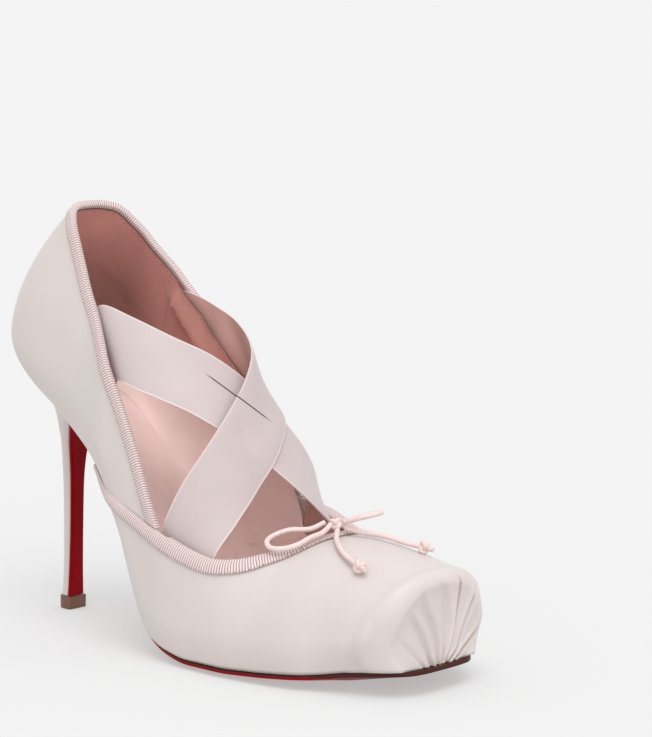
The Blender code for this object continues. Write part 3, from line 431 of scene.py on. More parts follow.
def half_column(side):
    return "lateral" if side == LATERAL else "medial"


def feather_half(x, side):
    """Half width of the feather line at x: a part circle at the seat, round corners at the toe."""
    x = np.asarray(x, float)
    half = column(SOLE_LINE, half_column(side), x)
    back = SEAT_RADIUS**2 - np.minimum(x - SEAT_CENTRE_X, 0) ** 2
    front = np.clip(x - (TOE_X - TOE_ROUND), 0, TOE_ROUND)
    half = half - TOE_ROUND + np.sqrt(TOE_ROUND**2 - front**2)
    return np.where(x < SEAT_CENTRE_X, np.sqrt(np.maximum(back, 0)), half)


def side_swell(x, height):
    """How far the wall stands outside the feather line at this height."""
    swell = column(SIDES, "swell", x)
    low = np.clip(height / column(SIDES, "swell_height", x), 0, 1)
    above = np.maximum(height - column(SIDES, "swell_height", x), 0)
    return swell * (1 - (1 - low) ** SWELL_POWER) - column(SIDES, "lean", x) * above**1.8


def heel_shift(x, height):
    """How far the back of the heel moves back, and higher up forward."""
    low = np.clip(height / HEEL_SWELL_HEIGHT, 0, 1)
    above = np.maximum(height - HEEL_SWELL_HEIGHT, 0) / HEEL_LEAN_HEIGHT
    fade = smooth_steps([SEAT_CENTRE_X, 64.0], [1.0, 0.0], x)
    return fade * (HEEL_LEAN * above**1.8 - HEEL_SWELL * (1 - (1 - low) ** SWELL_POWER))


def toe_back(x, y, height=0.0):
    """How far a point this far off the middle lies behind the toe's bowed front, less so higher up."""
    reach = np.where(np.asarray(y) < 0, TOE_CORNERS[LATERAL], TOE_CORNERS[MEDIAL])
    reach = reach * (1 - 0.5 * ease(height, 0.0, 26.0))
    return reach * (np.minimum(np.abs(y), 26.0) / 24.0) ** 3.5 * ease(x, 150.0, TOE_X)


def side_point(x, side, height):
    """A point of the wall over the feather line, for x in front of the seat's centre."""
    power = column(SIDES, "round", x)
    inward = (1 - np.clip(height / column(SIDES, "crown", x), 0, 1) ** power) ** (1 / power)
    y = side * (feather_half(x, side) + side_swell(x, height)) * inward
    return np.stack([x + heel_shift(x, height) - toe_back(x, y, height), y, sole_z(x) + height], -1)


def back_point(angle, height):
    """A point of the wall round the seat: angle 0 is straight back, pi/2 is either side."""
    x = SEAT_CENTRE_X - SEAT_RADIUS * np.cos(angle)
    reach = SEAT_RADIUS + side_swell(x, height)
    px = SEAT_CENTRE_X - reach * np.cos(angle) + heel_shift(x, height)
    return np.stack([px, reach * np.sin(angle), sole_z(x) + height], -1)


def collar_height(point_at, side):
    """The height above the feather line at which this column of the wall meets the topline."""
    low, high = 0.0, 90.0
    for _ in range(34):
        middle = (low + high) / 2
        p = point_at(middle)
        if p[2] < column(COLLAR, half_column(side), p[0]):
            low = middle
        else:
            high = middle
    return low


QUARTER_SIDE = 49  # columns along each side of the quarter
QUARTER_BACK = 49  # columns round its back
QUARTER_LEVELS = 33


def quarter_rows():
    """Columns of the quarter's outer face from its outer front end, round the heel, to the inner end."""
    columns = []
    for x in np.linspace(QUARTER_END_X[LATERAL], SEAT_CENTRE_X, QUARTER_SIDE):
        columns.append((LATERAL, lambda h, x=x: side_point(x, LATERAL, h)))
    for angle in np.linspace(-math.pi / 2, math.pi / 2, QUARTER_BACK)[1:-1]:
        side = LATERAL if angle < 0 else MEDIAL
        columns.append((side, lambda h, a=angle: back_point(a, h)))
    for x in np.linspace(SEAT_CENTRE_X, QUARTER_END_X[MEDIAL], QUARTER_SIDE):
        columns.append((MEDIAL, lambda h, x=x: side_point(x, MEDIAL, h)))
    rows = []
    for side, point_at in columns:
        heights = collar_height(point_at, side) * np.linspace(0, 1, QUARTER_LEVELS) ** 1.15
        rows.append([point_at(h) for h in heights])
    return np.array(rows)


HALF_TURN = 97  # points of a full row from the feather line to the middle
WING_TURN = 65  # of those, the ones that a wing's row has
WING_ROWS = 88
BODY_ROWS = 56  # rows from the throat to the toe's ridge


def arch_row(feather_x, edge_x, edge_z, side):
    """Points of a wing of the vamp from the feather line up to its edge."""
    t = np.linspace(0, 1, WING_TURN)
    x = feather_x + (edge_x - feather_x) * t
    power = float(column(SIDES, "round", edge_x))
    crown = float(column(SIDES, "crown", edge_x))
    rise = min(max((edge_z - float(sole_z(edge_x))) / crown, 0.004), 1.0)
    turn = math.asin(rise ** (power / 2)) * t
    height = column(SIDES, "crown", x) * np.sin(turn) ** (2 / column(SIDES, "round", x))
    return side_point(x, side, height)


def arch_point(x, share, side):
    """The point of the wall this share of the way over the foot, at x."""
    height = column(SIDES, "crown", x) * np.sin(math.pi / 2 * share) ** (2 / column(SIDES, "round", x))
    return side_point(x, side, height)


def wing_rows(side, throat_row):
    """Rows of one side of the vamp from its tip to the throat."""
    wings = table_curve(WINGS, ("feather_x", "edge_x", half_column(side)), WING_ROWS)
    rows = [arch_row(*wing, side) for wing in zip(*wings)]
    for t in np.linspace(0, 1, 5)[1:]:
        rows.append(rows[WING_ROWS - 1] * (1 - t) + throat_row * t)
    return np.array(rows)


def toe_row(ridge, x, narrow, low):
    """The ridge row moved forward to x and drawn in towards the middle of its foot."""
    foot = float(sole_z(x))
    z = foot + (ridge[:, 2] - ridge[0, 2]) * low
    y = ridge[:, 1] * narrow
    return np.stack([x - toe_back(x, y, z - foot), y, z], 1)


def body_rows():
    """Rows right over the foot from the throat to the middle of the toe's face."""
    share = np.linspace(0, 1, HALF_TURN)
    throat = column(THROAT, "x", share, "share")
    ridge_x = TOE_X - TOE_ROUND
    rows = []
    for t in np.linspace(0, 1, BODY_ROWS):
        x = throat * (1 - t) + ridge_x * t
        rows.append(np.vstack([arch_point(x, share, LATERAL), arch_point(x, share, MEDIAL)[::-1][1:]]))
    ridge = rows[-1]
    half = np.abs(ridge[:, 1]).max()
    tall = ridge[:, 2].max() - ridge[0, 2]
    for angle in np.linspace(0, math.pi / 2, 19)[1:]:
        turned = 1 - math.cos(angle)
        x = ridge_x + TOE_ROUND * math.sin(angle)
        rows.append(toe_row(ridge, x, 1 - TOE_SIDE_ROUND * turned / half, 1 - TOE_ROUND * turned / tall))
    for shrink in np.linspace(1, 0, 41)[1:]:
        x = TOE_X - TOE_DISH * (1 - shrink**6)
        rows.append(toe_row(ridge, x, shrink * (1 - TOE_SIDE_ROUND / half), shrink * (1 - TOE_ROUND / tall)))
    return np.array(rows)


# ---------------------------------------------------------------- meshes
def lay_grid(bm, rows):
    """Lays a grid over rows of points; its UV map holds the lengths along and across, in metres."""
    count, turn = rows.shape[:2]
    across = np.array([lengths_along(row) for row in rows])
    along = np.array([lengths_along(rows[:, k]) for k in range(turn)]).T
    uv = bm.loops.layers.uv.verify()
    made = bmesh.ops.create_grid(bm, x_segments=turn - 1, y_segments=count - 1, size=0.5, calc_uvs=True)
    spot = {}
    for vert in made["verts"]:
        i = round((vert.co.y + 0.5) * (count - 1))
        j = round((vert.co.x + 0.5) * (turn - 1))
        spot[vert] = (i, j)
        vert.co = Vector(rows[i, j]) * MM
    for vert, (i, j) in spot.items():
        for loop in vert.link_loops:
            loop[uv].uv = (along[i, j] * MM, across[i, j] * MM)
    order = sorted(spot, key=spot.get)
    return [order[k : k + turn] for k in range(0, len(order), turn)]


def weld(bm, distance=0.01):
    bmesh.ops.remove_doubles(bm, verts=bm.verts, dist=distance * MM)


def face_outwards(bm):
    """Turns a sheet so that its outer side looks towards -Y."""
    bmesh.ops.recalc_face_normals(bm, faces=bm.faces)
    bm.normal_update()
    lean = sum(f.normal.y * f.calc_area() for f in bm.faces if f.calc_center_median().y < -5 * MM)
    if lean > 0:
        bmesh.ops.reverse_faces(bm, faces=bm.faces)
        bm.normal_update()


def loft(rings):
    """A closed solid through rings of the same number of points, capped at both ends."""
    rings = np.asarray(rings, float)
    bm = bmesh.new()
    lay_grid(bm, np.concatenate([rings, rings[:, :1]], axis=1))
    weld(bm, 0.002)
    open_edges = [e for e in bm.edges if e.is_boundary]
    if open_edges:
        bmesh.ops.holes_fill(bm, edges=open_edges, sides=0)
    bmesh.ops.recalc_face_normals(bm, faces=bm.faces)
    return bm


def piece(name, bm, materials, stands_for=(), sharp=40):
    """Makes the object of a bmesh, at the origin and riding on the shoe."""
    mesh = bpy.data.meshes.new(name)
    bm.to_mesh(mesh)
    bm.free()
    mesh.shade_smooth()
    mesh.set_sharp_from_angle(angle=math.radians(sharp))
    made = bpy.data.objects.new(name, mesh)
    bpy.context.scene.collection.objects.link(made)
    for finish in materials:
        mesh.materials.append(finish)
    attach(made, "root")
    if stands_for:
        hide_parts(*stands_for)
    return made


def solidify(made, thick, inner_material=1):
    wall = made.modifiers.new("Wall", "SOLIDIFY")
    wall.thickness = thick * MM
    wall.offset = -1.0
    wall.use_even_offset = True
    wall.use_quality_normals = True
    wall.material_offset = inner_material
    wall.material_offset_rim = 0


def sizes():
    return bpy.context.scene.pump_sizes


def colours():
    return bpy.context.scene.pump_colours


class Skin:
    """A sheet of the upper to lay other pieces on: nearest point and smooth normal, in millimetres."""

    def __init__(self, bm):
        self.bm = bm.copy()
        bmesh.ops.scale(self.bm, vec=(1 / MM, 1 / MM, 1 / MM), verts=self.bm.verts)
        bmesh.ops.triangulate(self.bm, faces=self.bm.faces)
        self.bm.normal_update()
        self.bm.faces.index_update()
        self.bm.faces.ensure_lookup_table()
        self.tree = BVHTree.FromBMesh(self.bm)

    def near(self, point):
        place, _, index, _ = self.tree.find_nearest(Vector(point))
        corners = self.bm.faces[index].verts
        a, b, c = [v.co for v in corners]
        axes = (Vector((1, 0, 0)), Vector((0, 1, 0)), Vector((0, 0, 1)))
        weights = barycentric_transform(place, a, b, c, *axes)
        normal = sum((v.normal * w for v, w in zip(corners, weights)), Vector())
        return place, normal.normalized()


# ---------------------------------------------------------------- finishes
class Wire:
    """A value inside a material. Python's operators on it add Math nodes."""

    def __init__(self, shade, socket):
        self.shade = shade
        self.socket = socket

    def maths(self, operation, *values):
        return self.shade.node("ShaderNodeMath", dict(enumerate(values)), operation=operation)

    def __add__(self, other):
        return self.maths("ADD", self, other)

    def __sub__(self, other):
        return self.maths("SUBTRACT", self, other)

    def __rsub__(self, other):
        return self.maths("SUBTRACT", other, self)

    def __mul__(self, other):
        return self.maths("MULTIPLY", self, other)

    def __truediv__(self, other):
        return self.maths("DIVIDE", self, other)

    def __pow__(self, other):
        return self.maths("POWER", self, other)

    __radd__ = __add__
    __rmul__ = __mul__

    def sine(self):
        return self.maths("SINE", self)

    def size(self):
        return self.maths("ABSOLUTE", self)

    def between(self, low, high):
        """0 at low and below, 1 at high and above, smooth between them."""
        ends = {"Value": self, "From Min": low, "From Max": high}
        return self.shade.node("ShaderNodeMapRange", ends, interpolation_type="SMOOTHSTEP")


class Shade:
    """A material being made: its nodes, and the sockets of its Principled shader."""

    def __init__(self, name, roughness, **fixed):
        self.material = bpy.data.materials.new(name)
        self.material.use_nodes = True
        self.tree = self.material.node_tree
        self.shader = self.tree.nodes["Principled BSDF"]
        self.shader.inputs["Roughness"].default_value = roughness
        for key, value in fixed.items():
            self.shader.inputs[key.replace("_", " ")].default_value = value

    def feed(self, socket, value):
        if isinstance(value, Wire):
            self.tree.links.new(value.socket, socket)
        elif isinstance(value, tuple) and len(value) == 3 and socket.type == "RGBA":
            socket.default_value = (*value, 1.0)
        else:
            socket.default_value = value

    def node(self, kind, inputs=None, out=0, ramp=None, **settings):
        """Adds a node, sets it up, feeds its sockets and returns one of its outputs."""
        made = self.tree.nodes.new(kind)
        for key, value in settings.items():
            setattr(made, key, value)
        if ramp:
            stops = made.color_ramp.elements
            while len(stops) < len(ramp):
                stops.new(0.5)
            for stop, (place, tint) in zip(stops, ramp):
                stop.position = place
                stop.color = (*tint, 1.0)
        for key, value in (inputs or {}).items():
            self.feed(made.inputs[key], value)
        return Wire(self, made.outputs[out])

    def place(self):
        """Where the point is on the object."""
        return self.node("ShaderNodeTexCoord", out="Object")

    def stretched(self, scale, turn=(0.0, 0.0, 0.0)):
        """The same, turned and then stretched."""
        return self.node("ShaderNodeMapping", {"Vector": self.place(), "Rotation": turn, "Scale": scale})

    def apart(self, vector):
        """A vector's three numbers."""
        first = self.node("ShaderNodeSeparateXYZ", {0: vector}, out="X")
        return [Wire(self, first.socket.node.outputs[name]) for name in "XYZ"]

    def dot(self, vector, other):
        """The dot product of two vectors."""
        return self.node("ShaderNodeVectorMath", {0: vector, 1: other}, out="Value", operation="DOT_PRODUCT")

    def on_cloth(self):
        """Lengths along and across the piece, in metres, from its UV map."""
        return self.apart(self.node("ShaderNodeTexCoord", out="UV"))[:2]

    def noise(self, scale, detail=3.0, where=None, roughness=0.5):
        inputs = {"Vector": where or self.place(), "Scale": scale, "Detail": detail, "Roughness": roughness}
        return self.node("ShaderNodeTexNoise", inputs)

    def mix(self, share, first, second):
        """Between two colours."""
        return self.node("ShaderNodeMix", {0: share, 6: first, 7: second}, out=2, data_type="RGBA")

    def bump(self, height, depth, strength=1.0):
        """Raises the surface by height times depth, in metres."""
        inputs = {"Height": height, "Distance": depth, "Strength": strength}
        self.feed(self.shader.inputs["Normal"], self.node("ShaderNodeBump", inputs))

    def colour(self, value):
        self.feed(self.shader.inputs["Base Color"], value)

    def rough(self, value):
        self.feed(self.shader.inputs["Roughness"], value)


FINISHES = {}


def finish(make):
    """The material that a function makes, made once."""
    if make.__name__ not in FINISHES:
        FINISHES[make.__name__] = make().material
    return FINISHES[make.__name__]


def tint(name, light=1.0):
    return tuple(c * light for c in getattr(colours(), name))


def satin():
    """Duchess satin: fine lengthwise threads, a soft sheen and a faint cloudiness, with painted shade deep
    in the toe's pressed pleats.
    """
    gloss = {"Sheen_Weight": 0.25, "Sheen_Roughness": 0.35, "Anisotropic": 0.35, "Specular_IOR_Level": 0.42}
    s = Shade("satin", 0.36, **gloss)
    threads = s.noise(1.0, 2.0, s.stretched((350.0, 350.0, 5200.0)))
    weft = s.noise(1.0, 1.0, s.stretched((3600.0, 3600.0, 500.0)))
    cloud = s.noise(26.0, 4.0)
    cloth = s.mix(cloud.between(0.3, 0.72), tint("satin", 0.965), tint("satin", 1.02))
    # Painted shade: the satin is darkened deep in the toe's sharp pleats, for the shade in those folds.
    crease = s.node("ShaderNodeAttribute", out="Fac", attribute_name="crease")
    s.colour(s.mix(crease * 0.85, cloth, tint("crease")))
    s.rough(0.33 + 0.1 * cloud + 0.04 * threads)
    folds = s.noise(1.0, 1.0, s.stretched((24.0, 24.0, 13.0), (0.0, 0.5, 0.0)))
    s.bump(threads * 0.6 + weft * 0.4 + s.noise(140.0, 2.0) * 1.2 + folds * 14.0, 0.00006)
    return s


SOCK_EDGE = 0.0925  # in metres, the height of the sock's turned up edge at x = 0
SOCK_SLOPE = 0.29
HEEL_CUP_SHADE_X = (0.036, 0.004)  # in metres, where the painted shade in the heel's cup fades in, from its light front to its dark back
HEEL_CUP_SHADE_Z = (0.152, 0.118)


def lining_leather():
    """Soft kid lining: fine grain, gently clouded, paler up the inner wall, with painted shade darkening the
    heel's cup and a dark line of painted shade along the facing's top edge.
    """
    s = Shade("lining_leather", 0.52, Sheen_Weight=0.12, Sheen_Roughness=0.5)
    cloud = s.noise(38.0, 3.0)
    pores = s.node("ShaderNodeTexVoronoi", {"Vector": s.place(), "Scale": 2300.0}, out="Distance")
    x, _, z = s.apart(s.place())
    under = SOCK_EDGE - SOCK_SLOPE * x - z + s.noise(60.0, 1.0) * 0.0015
    sock = under.between(-0.0001, 0.0003)
    leather = s.mix(cloud.between(0.32, 0.7), tint("lining", 0.9), tint("lining", 1.06))
    # Painted shade: the lining is darkened towards the back of the heel's cup and lower down in it, for the
    # shade deep inside.
    heel_cup_shade = x.between(*HEEL_CUP_SHADE_X) * z.between(*HEEL_CUP_SHADE_Z)
    leather = s.mix(heel_cup_shade, leather, tint("lining", 0.52))
    padded = s.mix(cloud.between(0.32, 0.7), tint("insole", 0.93), tint("insole", 1.05))
    # Painted shade: a dark line along the facing's top edge, where its turned edge casts shade.
    edge = s.node("ShaderNodeAttribute", out="Fac", attribute_name="crease")
    s.colour(s.mix(edge * 0.85, s.mix(sock, leather, padded), tint("hollow_shade")))
    s.rough(0.46 + 0.14 * pores)
    s.bump(pores * 0.35 + s.noise(420.0, 3.0) * 0.3 + under.between(-0.0001, 0.0007) * 2.5, 0.00016)
    return s


def sock_leather():
    """The insole's padded sock: the lining's leather, paler, with soft creases from its padding."""
    s = Shade("sock_leather", 0.5, Sheen_Weight=0.12, Sheen_Roughness=0.5)
    cloud = s.noise(30.0, 3.0)
    pores = s.node("ShaderNodeTexVoronoi", {"Vector": s.place(), "Scale": 2100.0}, out="Distance")
    creases = s.noise(1.0, 2.0, s.stretched((70.0, 190.0, 90.0)))
    s.colour(s.mix(cloud.between(0.3, 0.72), tint("insole", 0.93), tint("insole", 1.05)))
    s.rough(0.44 + 0.14 * pores)
    s.bump(pores * 0.06 + creases * 1.0, 0.0016, 0.7)
    return s


def ribbon():
    """Grosgrain: raised ribs across the ribbon, with painted shade in deep pink between them, and a stitched
    edge, darkened towards the grooves' painted shade between its stitches.
    """
    s = Shade("ribbon", 0.5, Sheen_Weight=0.3, Sheen_Roughness=0.4)
    along, across = s.on_cloth()
    pitch = sizes().rib_pitch
    rib = (along * (2 * math.pi / pitch) + math.pi / 2).sine() * 0.5 + 0.5
    # Painted shade: the grooves between the ribs take a darker, deeper pink, for the shade in them.
    shades = s.mix(rib.between(0.06, 0.42), tint("groove_shade"), tint("ribbon"))
    edge = across.between(0.0013, 0.0006)
    loops = (along * (math.pi / sizes().edge_stitch)).sine().size().between(0.15, 0.6)
    # Painted shade: along the lower edge, between the stitches' loops, the ribbon darkens towards the
    # grooves' shade colour.
    s.colour(s.mix(edge * (1.0 - loops * 0.8) * 0.8, shades, tint("groove_shade", 0.8)))
    s.rough(0.62 - 0.16 * rib)
    s.bump(rib + s.noise(3800.0, 2.0) * 0.25, 0.00014)
    return s


def elastic():
    """Woven elastic: fine lengthwise cords under a smooth face, cream selvedges, and a dark line of painted
    shade along a shallow sunk line where the crossing straps are tacked together.
    """
    s = Shade("elastic", 0.47, Sheen_Weight=0.35, Sheen_Roughness=0.35)
    along, across = s.on_cloth()
    cords = (across * (2 * math.pi / 0.00062)).sine() * 0.5 + 0.5
    picks = (along * (2 * math.pi / 0.0005)).sine() * 0.5 + 0.5
    width = sizes().strap_width
    edge = (across - width / 2).size().between(width / 2 - 0.0009, width / 2 - 0.0003)
    cloud = s.noise(60.0, 3.0)
    face = s.mix(cloud.between(0.3, 0.7), tint("strap", 0.97), tint("strap", 1.03))
    # Painted shade: a narrow dark line, pressed in a little, where the crossing straps are tacked together,
    # for the shade in that fold.
    first, last = (Vector(p) * MM for p in CREASE)
    way = (last - first).normalized()
    off = (s.dot(s.place(), CREASE_SIDE) - first.dot(Vector(CREASE_SIDE))).size()
    run = s.dot(s.place(), tuple(way)) - first.dot(way)
    ends = run.between(0.0, 0.006) * ((last - first).length - run).between(0.0, 0.005)
    crease = off.between(0.00028, 0.00012) * ends
    s.colour(s.mix(crease, s.mix(edge * 0.7, face, tint("selvedge")), tint("hollow_shade", 0.5)))
    s.rough(0.44 + 0.08 * cords)
    s.bump(cords * 0.6 + picks * 0.3 + s.noise(300.0, 2.0) * 0.9 + edge * 1.5 - crease * 4.0, 0.00006)
    return s


def strap_back():
    """The inner face of the straps, dyed like the lining."""
    s = Shade("strap_back", 0.55, Sheen_Weight=0.3, Sheen_Roughness=0.4)
    _, across = s.on_cloth()
    cords = (across * (2 * math.pi / 0.00062)).sine() * 0.5 + 0.5
    cloud = s.noise(50.0, 3.0)
    s.colour(s.mix(cloud.between(0.3, 0.7), tint("strap_back", 0.95), tint("strap_back", 1.05)))
    s.bump(cords * 0.6 + s.noise(300.0, 2.0), 0.00007)
    return s


def red_sole():
    """The sole's red leather: smooth, hardly shining, gently clouded, with a faint grain."""
    s = Shade("red_sole", 0.3, Coat_Weight=0.02, Coat_Roughness=0.15, Specular_IOR_Level=0.04)
    cloud = s.noise(45.0, 4.0)
    s.colour(s.mix(cloud.between(0.35, 0.7), tint("red", 0.85), tint("red", 1.05)))
    s.rough(0.28 + 0.12 * cloud)
    s.bump(s.noise(1100.0, 3.0), 0.00003)
    return s


def sole_edge():
    """The sole's waxed dark edge, faintly streaked along its length."""
    s = Shade("sole_edge", 0.35, Specular_IOR_Level=0.15)
    streaks = s.noise(1.0, 2.0, s.stretched((60.0, 60.0, 2600.0)))
    s.colour(s.mix(streaks, tint("edge", 0.7), tint("edge", 1.3)))
    s.rough(0.3 + 0.2 * streaks)
    s.bump(streaks, 0.00005)
    return s


def heel_tip():
    """The hard top lift: dark rubber with fine moulding grain."""
    s = Shade("heel_tip", 0.45)
    grain = s.noise(1500.0, 3.0)
    s.colour(s.mix(grain, tint("tip", 0.8), tint("tip", 1.2)))
    s.bump(grain, 0.00004)
    return s


def cord_satin():
    """The bow's rouleau: satin sewn into a thin tube, slightly puckered along its seam."""
    s = Shade("cord_satin", 0.42, Sheen_Weight=0.3, Sheen_Roughness=0.35)
    puckers = s.noise(900.0, 2.0)
    s.colour(s.mix(puckers.between(0.3, 0.7), tint("bow", 0.93), tint("bow", 1.04)))
    s.bump(puckers + s.noise(2600.0, 1.0) * 0.4, 0.00013)
    return s


def thread():
    """Sewing thread: two plies twisted together."""
    s = Shade("thread", 0.5, Sheen_Weight=0.3)
    plies = s.noise(1.0, 1.0, s.stretched((4200.0, 4200.0, 4200.0), (0.6, 0.4, 0.0)))
    s.colour(s.mix(plies, tint("thread", 0.85), tint("thread", 1.1)))
    s.bump(plies, 0.00005)
    return s


def floor_paper():
    """The pale floor, with the slightest mottle."""
    s = Shade("floor_paper", 0.85, Emission_Strength=0.42, Specular_IOR_Level=0.0)
    s.colour(s.mix(s.noise(3.0, 2.0), tint("floor", 0.99), tint("floor", 1.01)))
    s.feed(s.shader.inputs["Emission Color"], (1.0, 1.0, 1.0))
    s.rough(0.8 + 0.1 * s.noise(30.0, 2.0))
    return s


# ---------------------------------------------------------------- upper
SKINS = {}


def make_quarter():
    bm = bmesh.new()
    verts = lay_grid(bm, quarter_rows())
    face_outwards(bm)
    SKINS["quarter"] = Skin(bm)
    SKINS["collar"] = [row[-1].co / MM for row in verts]
    made = piece("quarter_shell", bm, (finish(satin), finish(lining_leather)))
    solidify(made, QUARTER_WALL)
    return made


def make_vamp():
    bm = bmesh.new()
    rows = body_rows()
    body = lay_grid(bm, rows)
    throat = rows[0]
    outer = lay_grid(bm, wing_rows(LATERAL, throat[:WING_TURN]))
    inner = lay_grid(bm, wing_rows(MEDIAL, throat[::-1][:WING_TURN]))
    feather = [row[0] for row in body] + [row[-1] for row in body]
    feather += [row[0] for row in outer] + [row[0] for row in inner]
    edge = [row[-1] for row in outer] + body[0][WING_TURN:-WING_TURN] + [row[-1] for row in inner][::-1]
    places = [v.co.copy() for v in edge]
    flat = {tuple(round(c, 6) for c in v.co) for v in feather}
    weld(bm)
    face_outwards(bm)
    for vert in bm.verts:
        move = vert.normal * VAMP_LIFT * MM
        level = Vector((move.x, move.y, 0)).normalized() * VAMP_LIFT * MM
        rise = vert.co.z / MM - float(sole_z(vert.co.x / MM))
        if tuple(round(c, 6) for c in vert.co) in flat:
            rise = 0.0
        vert.co += level.lerp(move, float(ease(rise, 0.0, 5.0)))
    bm.normal_update()
    SKINS["vamp"] = Skin(bm)
    SKINS["throat"] = [p / MM for p in places]
    shape_toe(bm)
    tips = [v for v in bm.verts if v.co.x < WING_TIP * MM]
    bmesh.ops.delete(bm, geom=tips, context="VERTS")
    made = piece("vamp", bm, (finish(satin), finish(lining_leather)), ("upper",))
    solidify(made, VAMP_WALL)
    return made


def shape_toe(bm):
    """Presses the toe's gathered pleats into the vamp, and marks their sharp folds for painted shade."""
    lines = []
    for pleat in PLEATS:
        line = np.array(pleat.line)
        fine = through(np.column_stack([line, np.zeros(len(line))]), 60)[:, :2]
        lines.append((pleat, fine[::-1]))
    # How much painted shade the satin gets here, deep in a sharp fold.
    crease = bm.verts.layers.float.new("crease")
    for vert in bm.verts:
        x, y, z = vert.co / MM
        if x > 170:
            height, pressed = pleat_height(x, y, z, lines)
            vert.co += vert.normal * height * MM
            vert[crease] = pressed
    bm.normal_update()


def pleat_height(x, y, z, lines):
    """How far the gathers raise or press the cloth at this point of the toe, and how sharply, which sets the
    painted shade in the fold.
    """
    height = 0.0
    pressed = 0.0
    deep = sizes().pleat_depth / MM
    for pleat, line in lines:
        low, high = line[0, 1], line[-1, 1]
        place = min(max(z, low), high)
        k = min(max(int(np.searchsorted(line[:, 1], place)), 1), len(line) - 1)
        slope = (line[k, 0] - line[k - 1, 0]) / max(line[k, 1] - line[k - 1, 1], 1e-6)
        off = (y - np.interp(place, line[:, 1], line[:, 0])) / math.hypot(slope, 1.0)
        up = (z - low) / (high - low)
        strength = pleat.depth * float(ease(1.0 - up, -0.05, 0.3)) * deep
        side = 1.0 if pleat.line[0][0] > pleat.line[-1][0] else -1.0
        off *= side
        near = min(1.0, 0.45 + up)
        if pleat.sharp:
            fold = -math.exp(-abs(off) / pleat.width)
            fold += 0.42 * math.exp(-(((off + 1.9 * near) / (1.3 * near)) ** 2))
            fold += 0.16 * math.exp(-(((off - 2.0 * near) / (1.4 * near)) ** 2))
            inside = float(ease(up, -0.02, 0.05)) * float(ease(1.0 - up, 0.0, 0.12))
            pressed = max(pressed, math.exp(-((off / 0.42) ** 2)) * inside)
        else:
            fold = -math.exp(-((off / (pleat.width * near)) ** 2))
            fold += 0.55 * math.exp(-(((off + 2.4 * near) / (1.6 * near)) ** 2))
        height += strength * fold
    gather = ease(z, 15.0, 9.5) * math.exp(-(((y - 2.0) / 10.0) ** 2))
    height += 0.22 * gather * math.sin(y * 3.6 + 0.6 * math.sin(z))
    front = float(ease(x, 172.0, 178.0))
    return float(height * front), pressed * front


# ---------------------------------------------------------------- sole, insole and heel
def sole_path(x):
    """A point of the sole line and the direction square to it, in the X-Z plane."""
    step = 0.5
    slope = (sole_z(x + step) - sole_z(x - step)) / (2 * step)
    up = np.array([-slope, 1.0]) / math.hypot(slope, 1.0)
    return np.array([x, float(sole_z(x))]), up


def slab_ring(at, up, near, thick, edge_thick, lateral, medial, rounded=0.0, turn=41):
    """A section across the foot: flat towards the sole line, and thinner at its edges away from it."""
    ring = []
    for share in np.linspace(-1, 1, turn):
        half = medial if share > 0 else lateral
        ring.append((at[0] + up[0] * near, share * half, at[1] + up[1] * near))
    steps = ((0.35, 0.0), (0.6, 0.0), (0.8, 0.25), (0.93, 0.6)) if rounded else ()
    for share, drawn in steps:
        deep = near + edge_thick * share
        ring.append((at[0] + up[0] * deep, medial - drawn * rounded, at[1] + up[1] * deep))
    for share in np.linspace(1, -1, turn):
        half = (medial if share > 0 else lateral) - rounded
        swell = min((1 - abs(share)) / 0.42, 1.0)
        deep = near + edge_thick + (thick - edge_thick) * swell * (2 - swell)
        ring.append((at[0] + up[0] * deep, share * half, at[1] + up[1] * deep))
    for share, drawn in steps[::-1]:
        deep = near + edge_thick * share
        ring.append((at[0] + up[0] * deep, drawn * rounded - lateral, at[1] + up[1] * deep))
    return [(x - float(toe_back(x, y)), y, z) for x, y, z in ring]


def toe_half(x, side, front, corner, margin):
    """Half width of a flat toe that ends at front with round corners."""
    base = float(column(SOLE_LINE, half_column(side), x)) + margin
    past = min(max(x - (front - corner), 0.0), corner)
    return base - corner + math.sqrt(max(corner**2 - past**2, 0.0))


def make_outsole():
    front = TOE_X + 0.8
    corner = 12.0
    stations = list(np.linspace(20.5, front - corner, 90))
    stations += list(front - corner + corner * np.sin(np.linspace(0, math.pi / 2, 14))[1:])
    rings = []
    for x in stations:
        at, up = sole_path(x)
        margin = float(column(SOLE_EDGE, "margin", x))
        thick = float(column(SOLE_EDGE, "thick", x))
        edge = min(thick, SOLE_EDGE_THICK)
        thick += (edge - thick) * max(x - 168.0, 0.0) / (front - 168.0)
        halves = [toe_half(x, side, front, corner, margin) for side in (LATERAL, MEDIAL)]
        if x < 30:
            fade = (x - 20.5) / 9.5
            seat = BREAST[0].half + (x - BREAST[0].x) * 0.1
            halves = [half * fade + seat * (1 - fade) for half in halves]
        rings.append(slab_ring(at, -up, GAP, thick, edge, *halves, rounded=0.5))
    rings = rings[::-1]
    xs, zs, halves = table_curve(BREAST, ("x", "z", "half"), 60)
    path = np.stack([xs, zs], 1)
    way = np.gradient(path, axis=0)
    way[-1] = (0.0, -1.0)
    way /= np.linalg.norm(way, axis=1, keepdims=True)
    for at, along, half in zip(path, way, halves):
        out = np.array([-along[1], along[0]])
        rings.append(slab_ring(at, out, 0.12, BREAST_THICK, BREAST_THICK - 0.25, half, half, rounded=0.1))
    bm = loft(rings)
    made = piece("sole", bm, (finish(red_sole), finish(sole_edge)), ("outsole",))
    for face in made.data.polygons:
        x, _, z = face.center / MM
        at, up = sole_path(x)
        dark = GAP + DARK_EDGE + DARK_EDGE_TOE * float(ease(x, 166.0, 180.0))
        if x > 22 and (at[0] - x) * up[0] + (at[1] - z) * up[1] < dark:
            face.material_index = 1
    return made


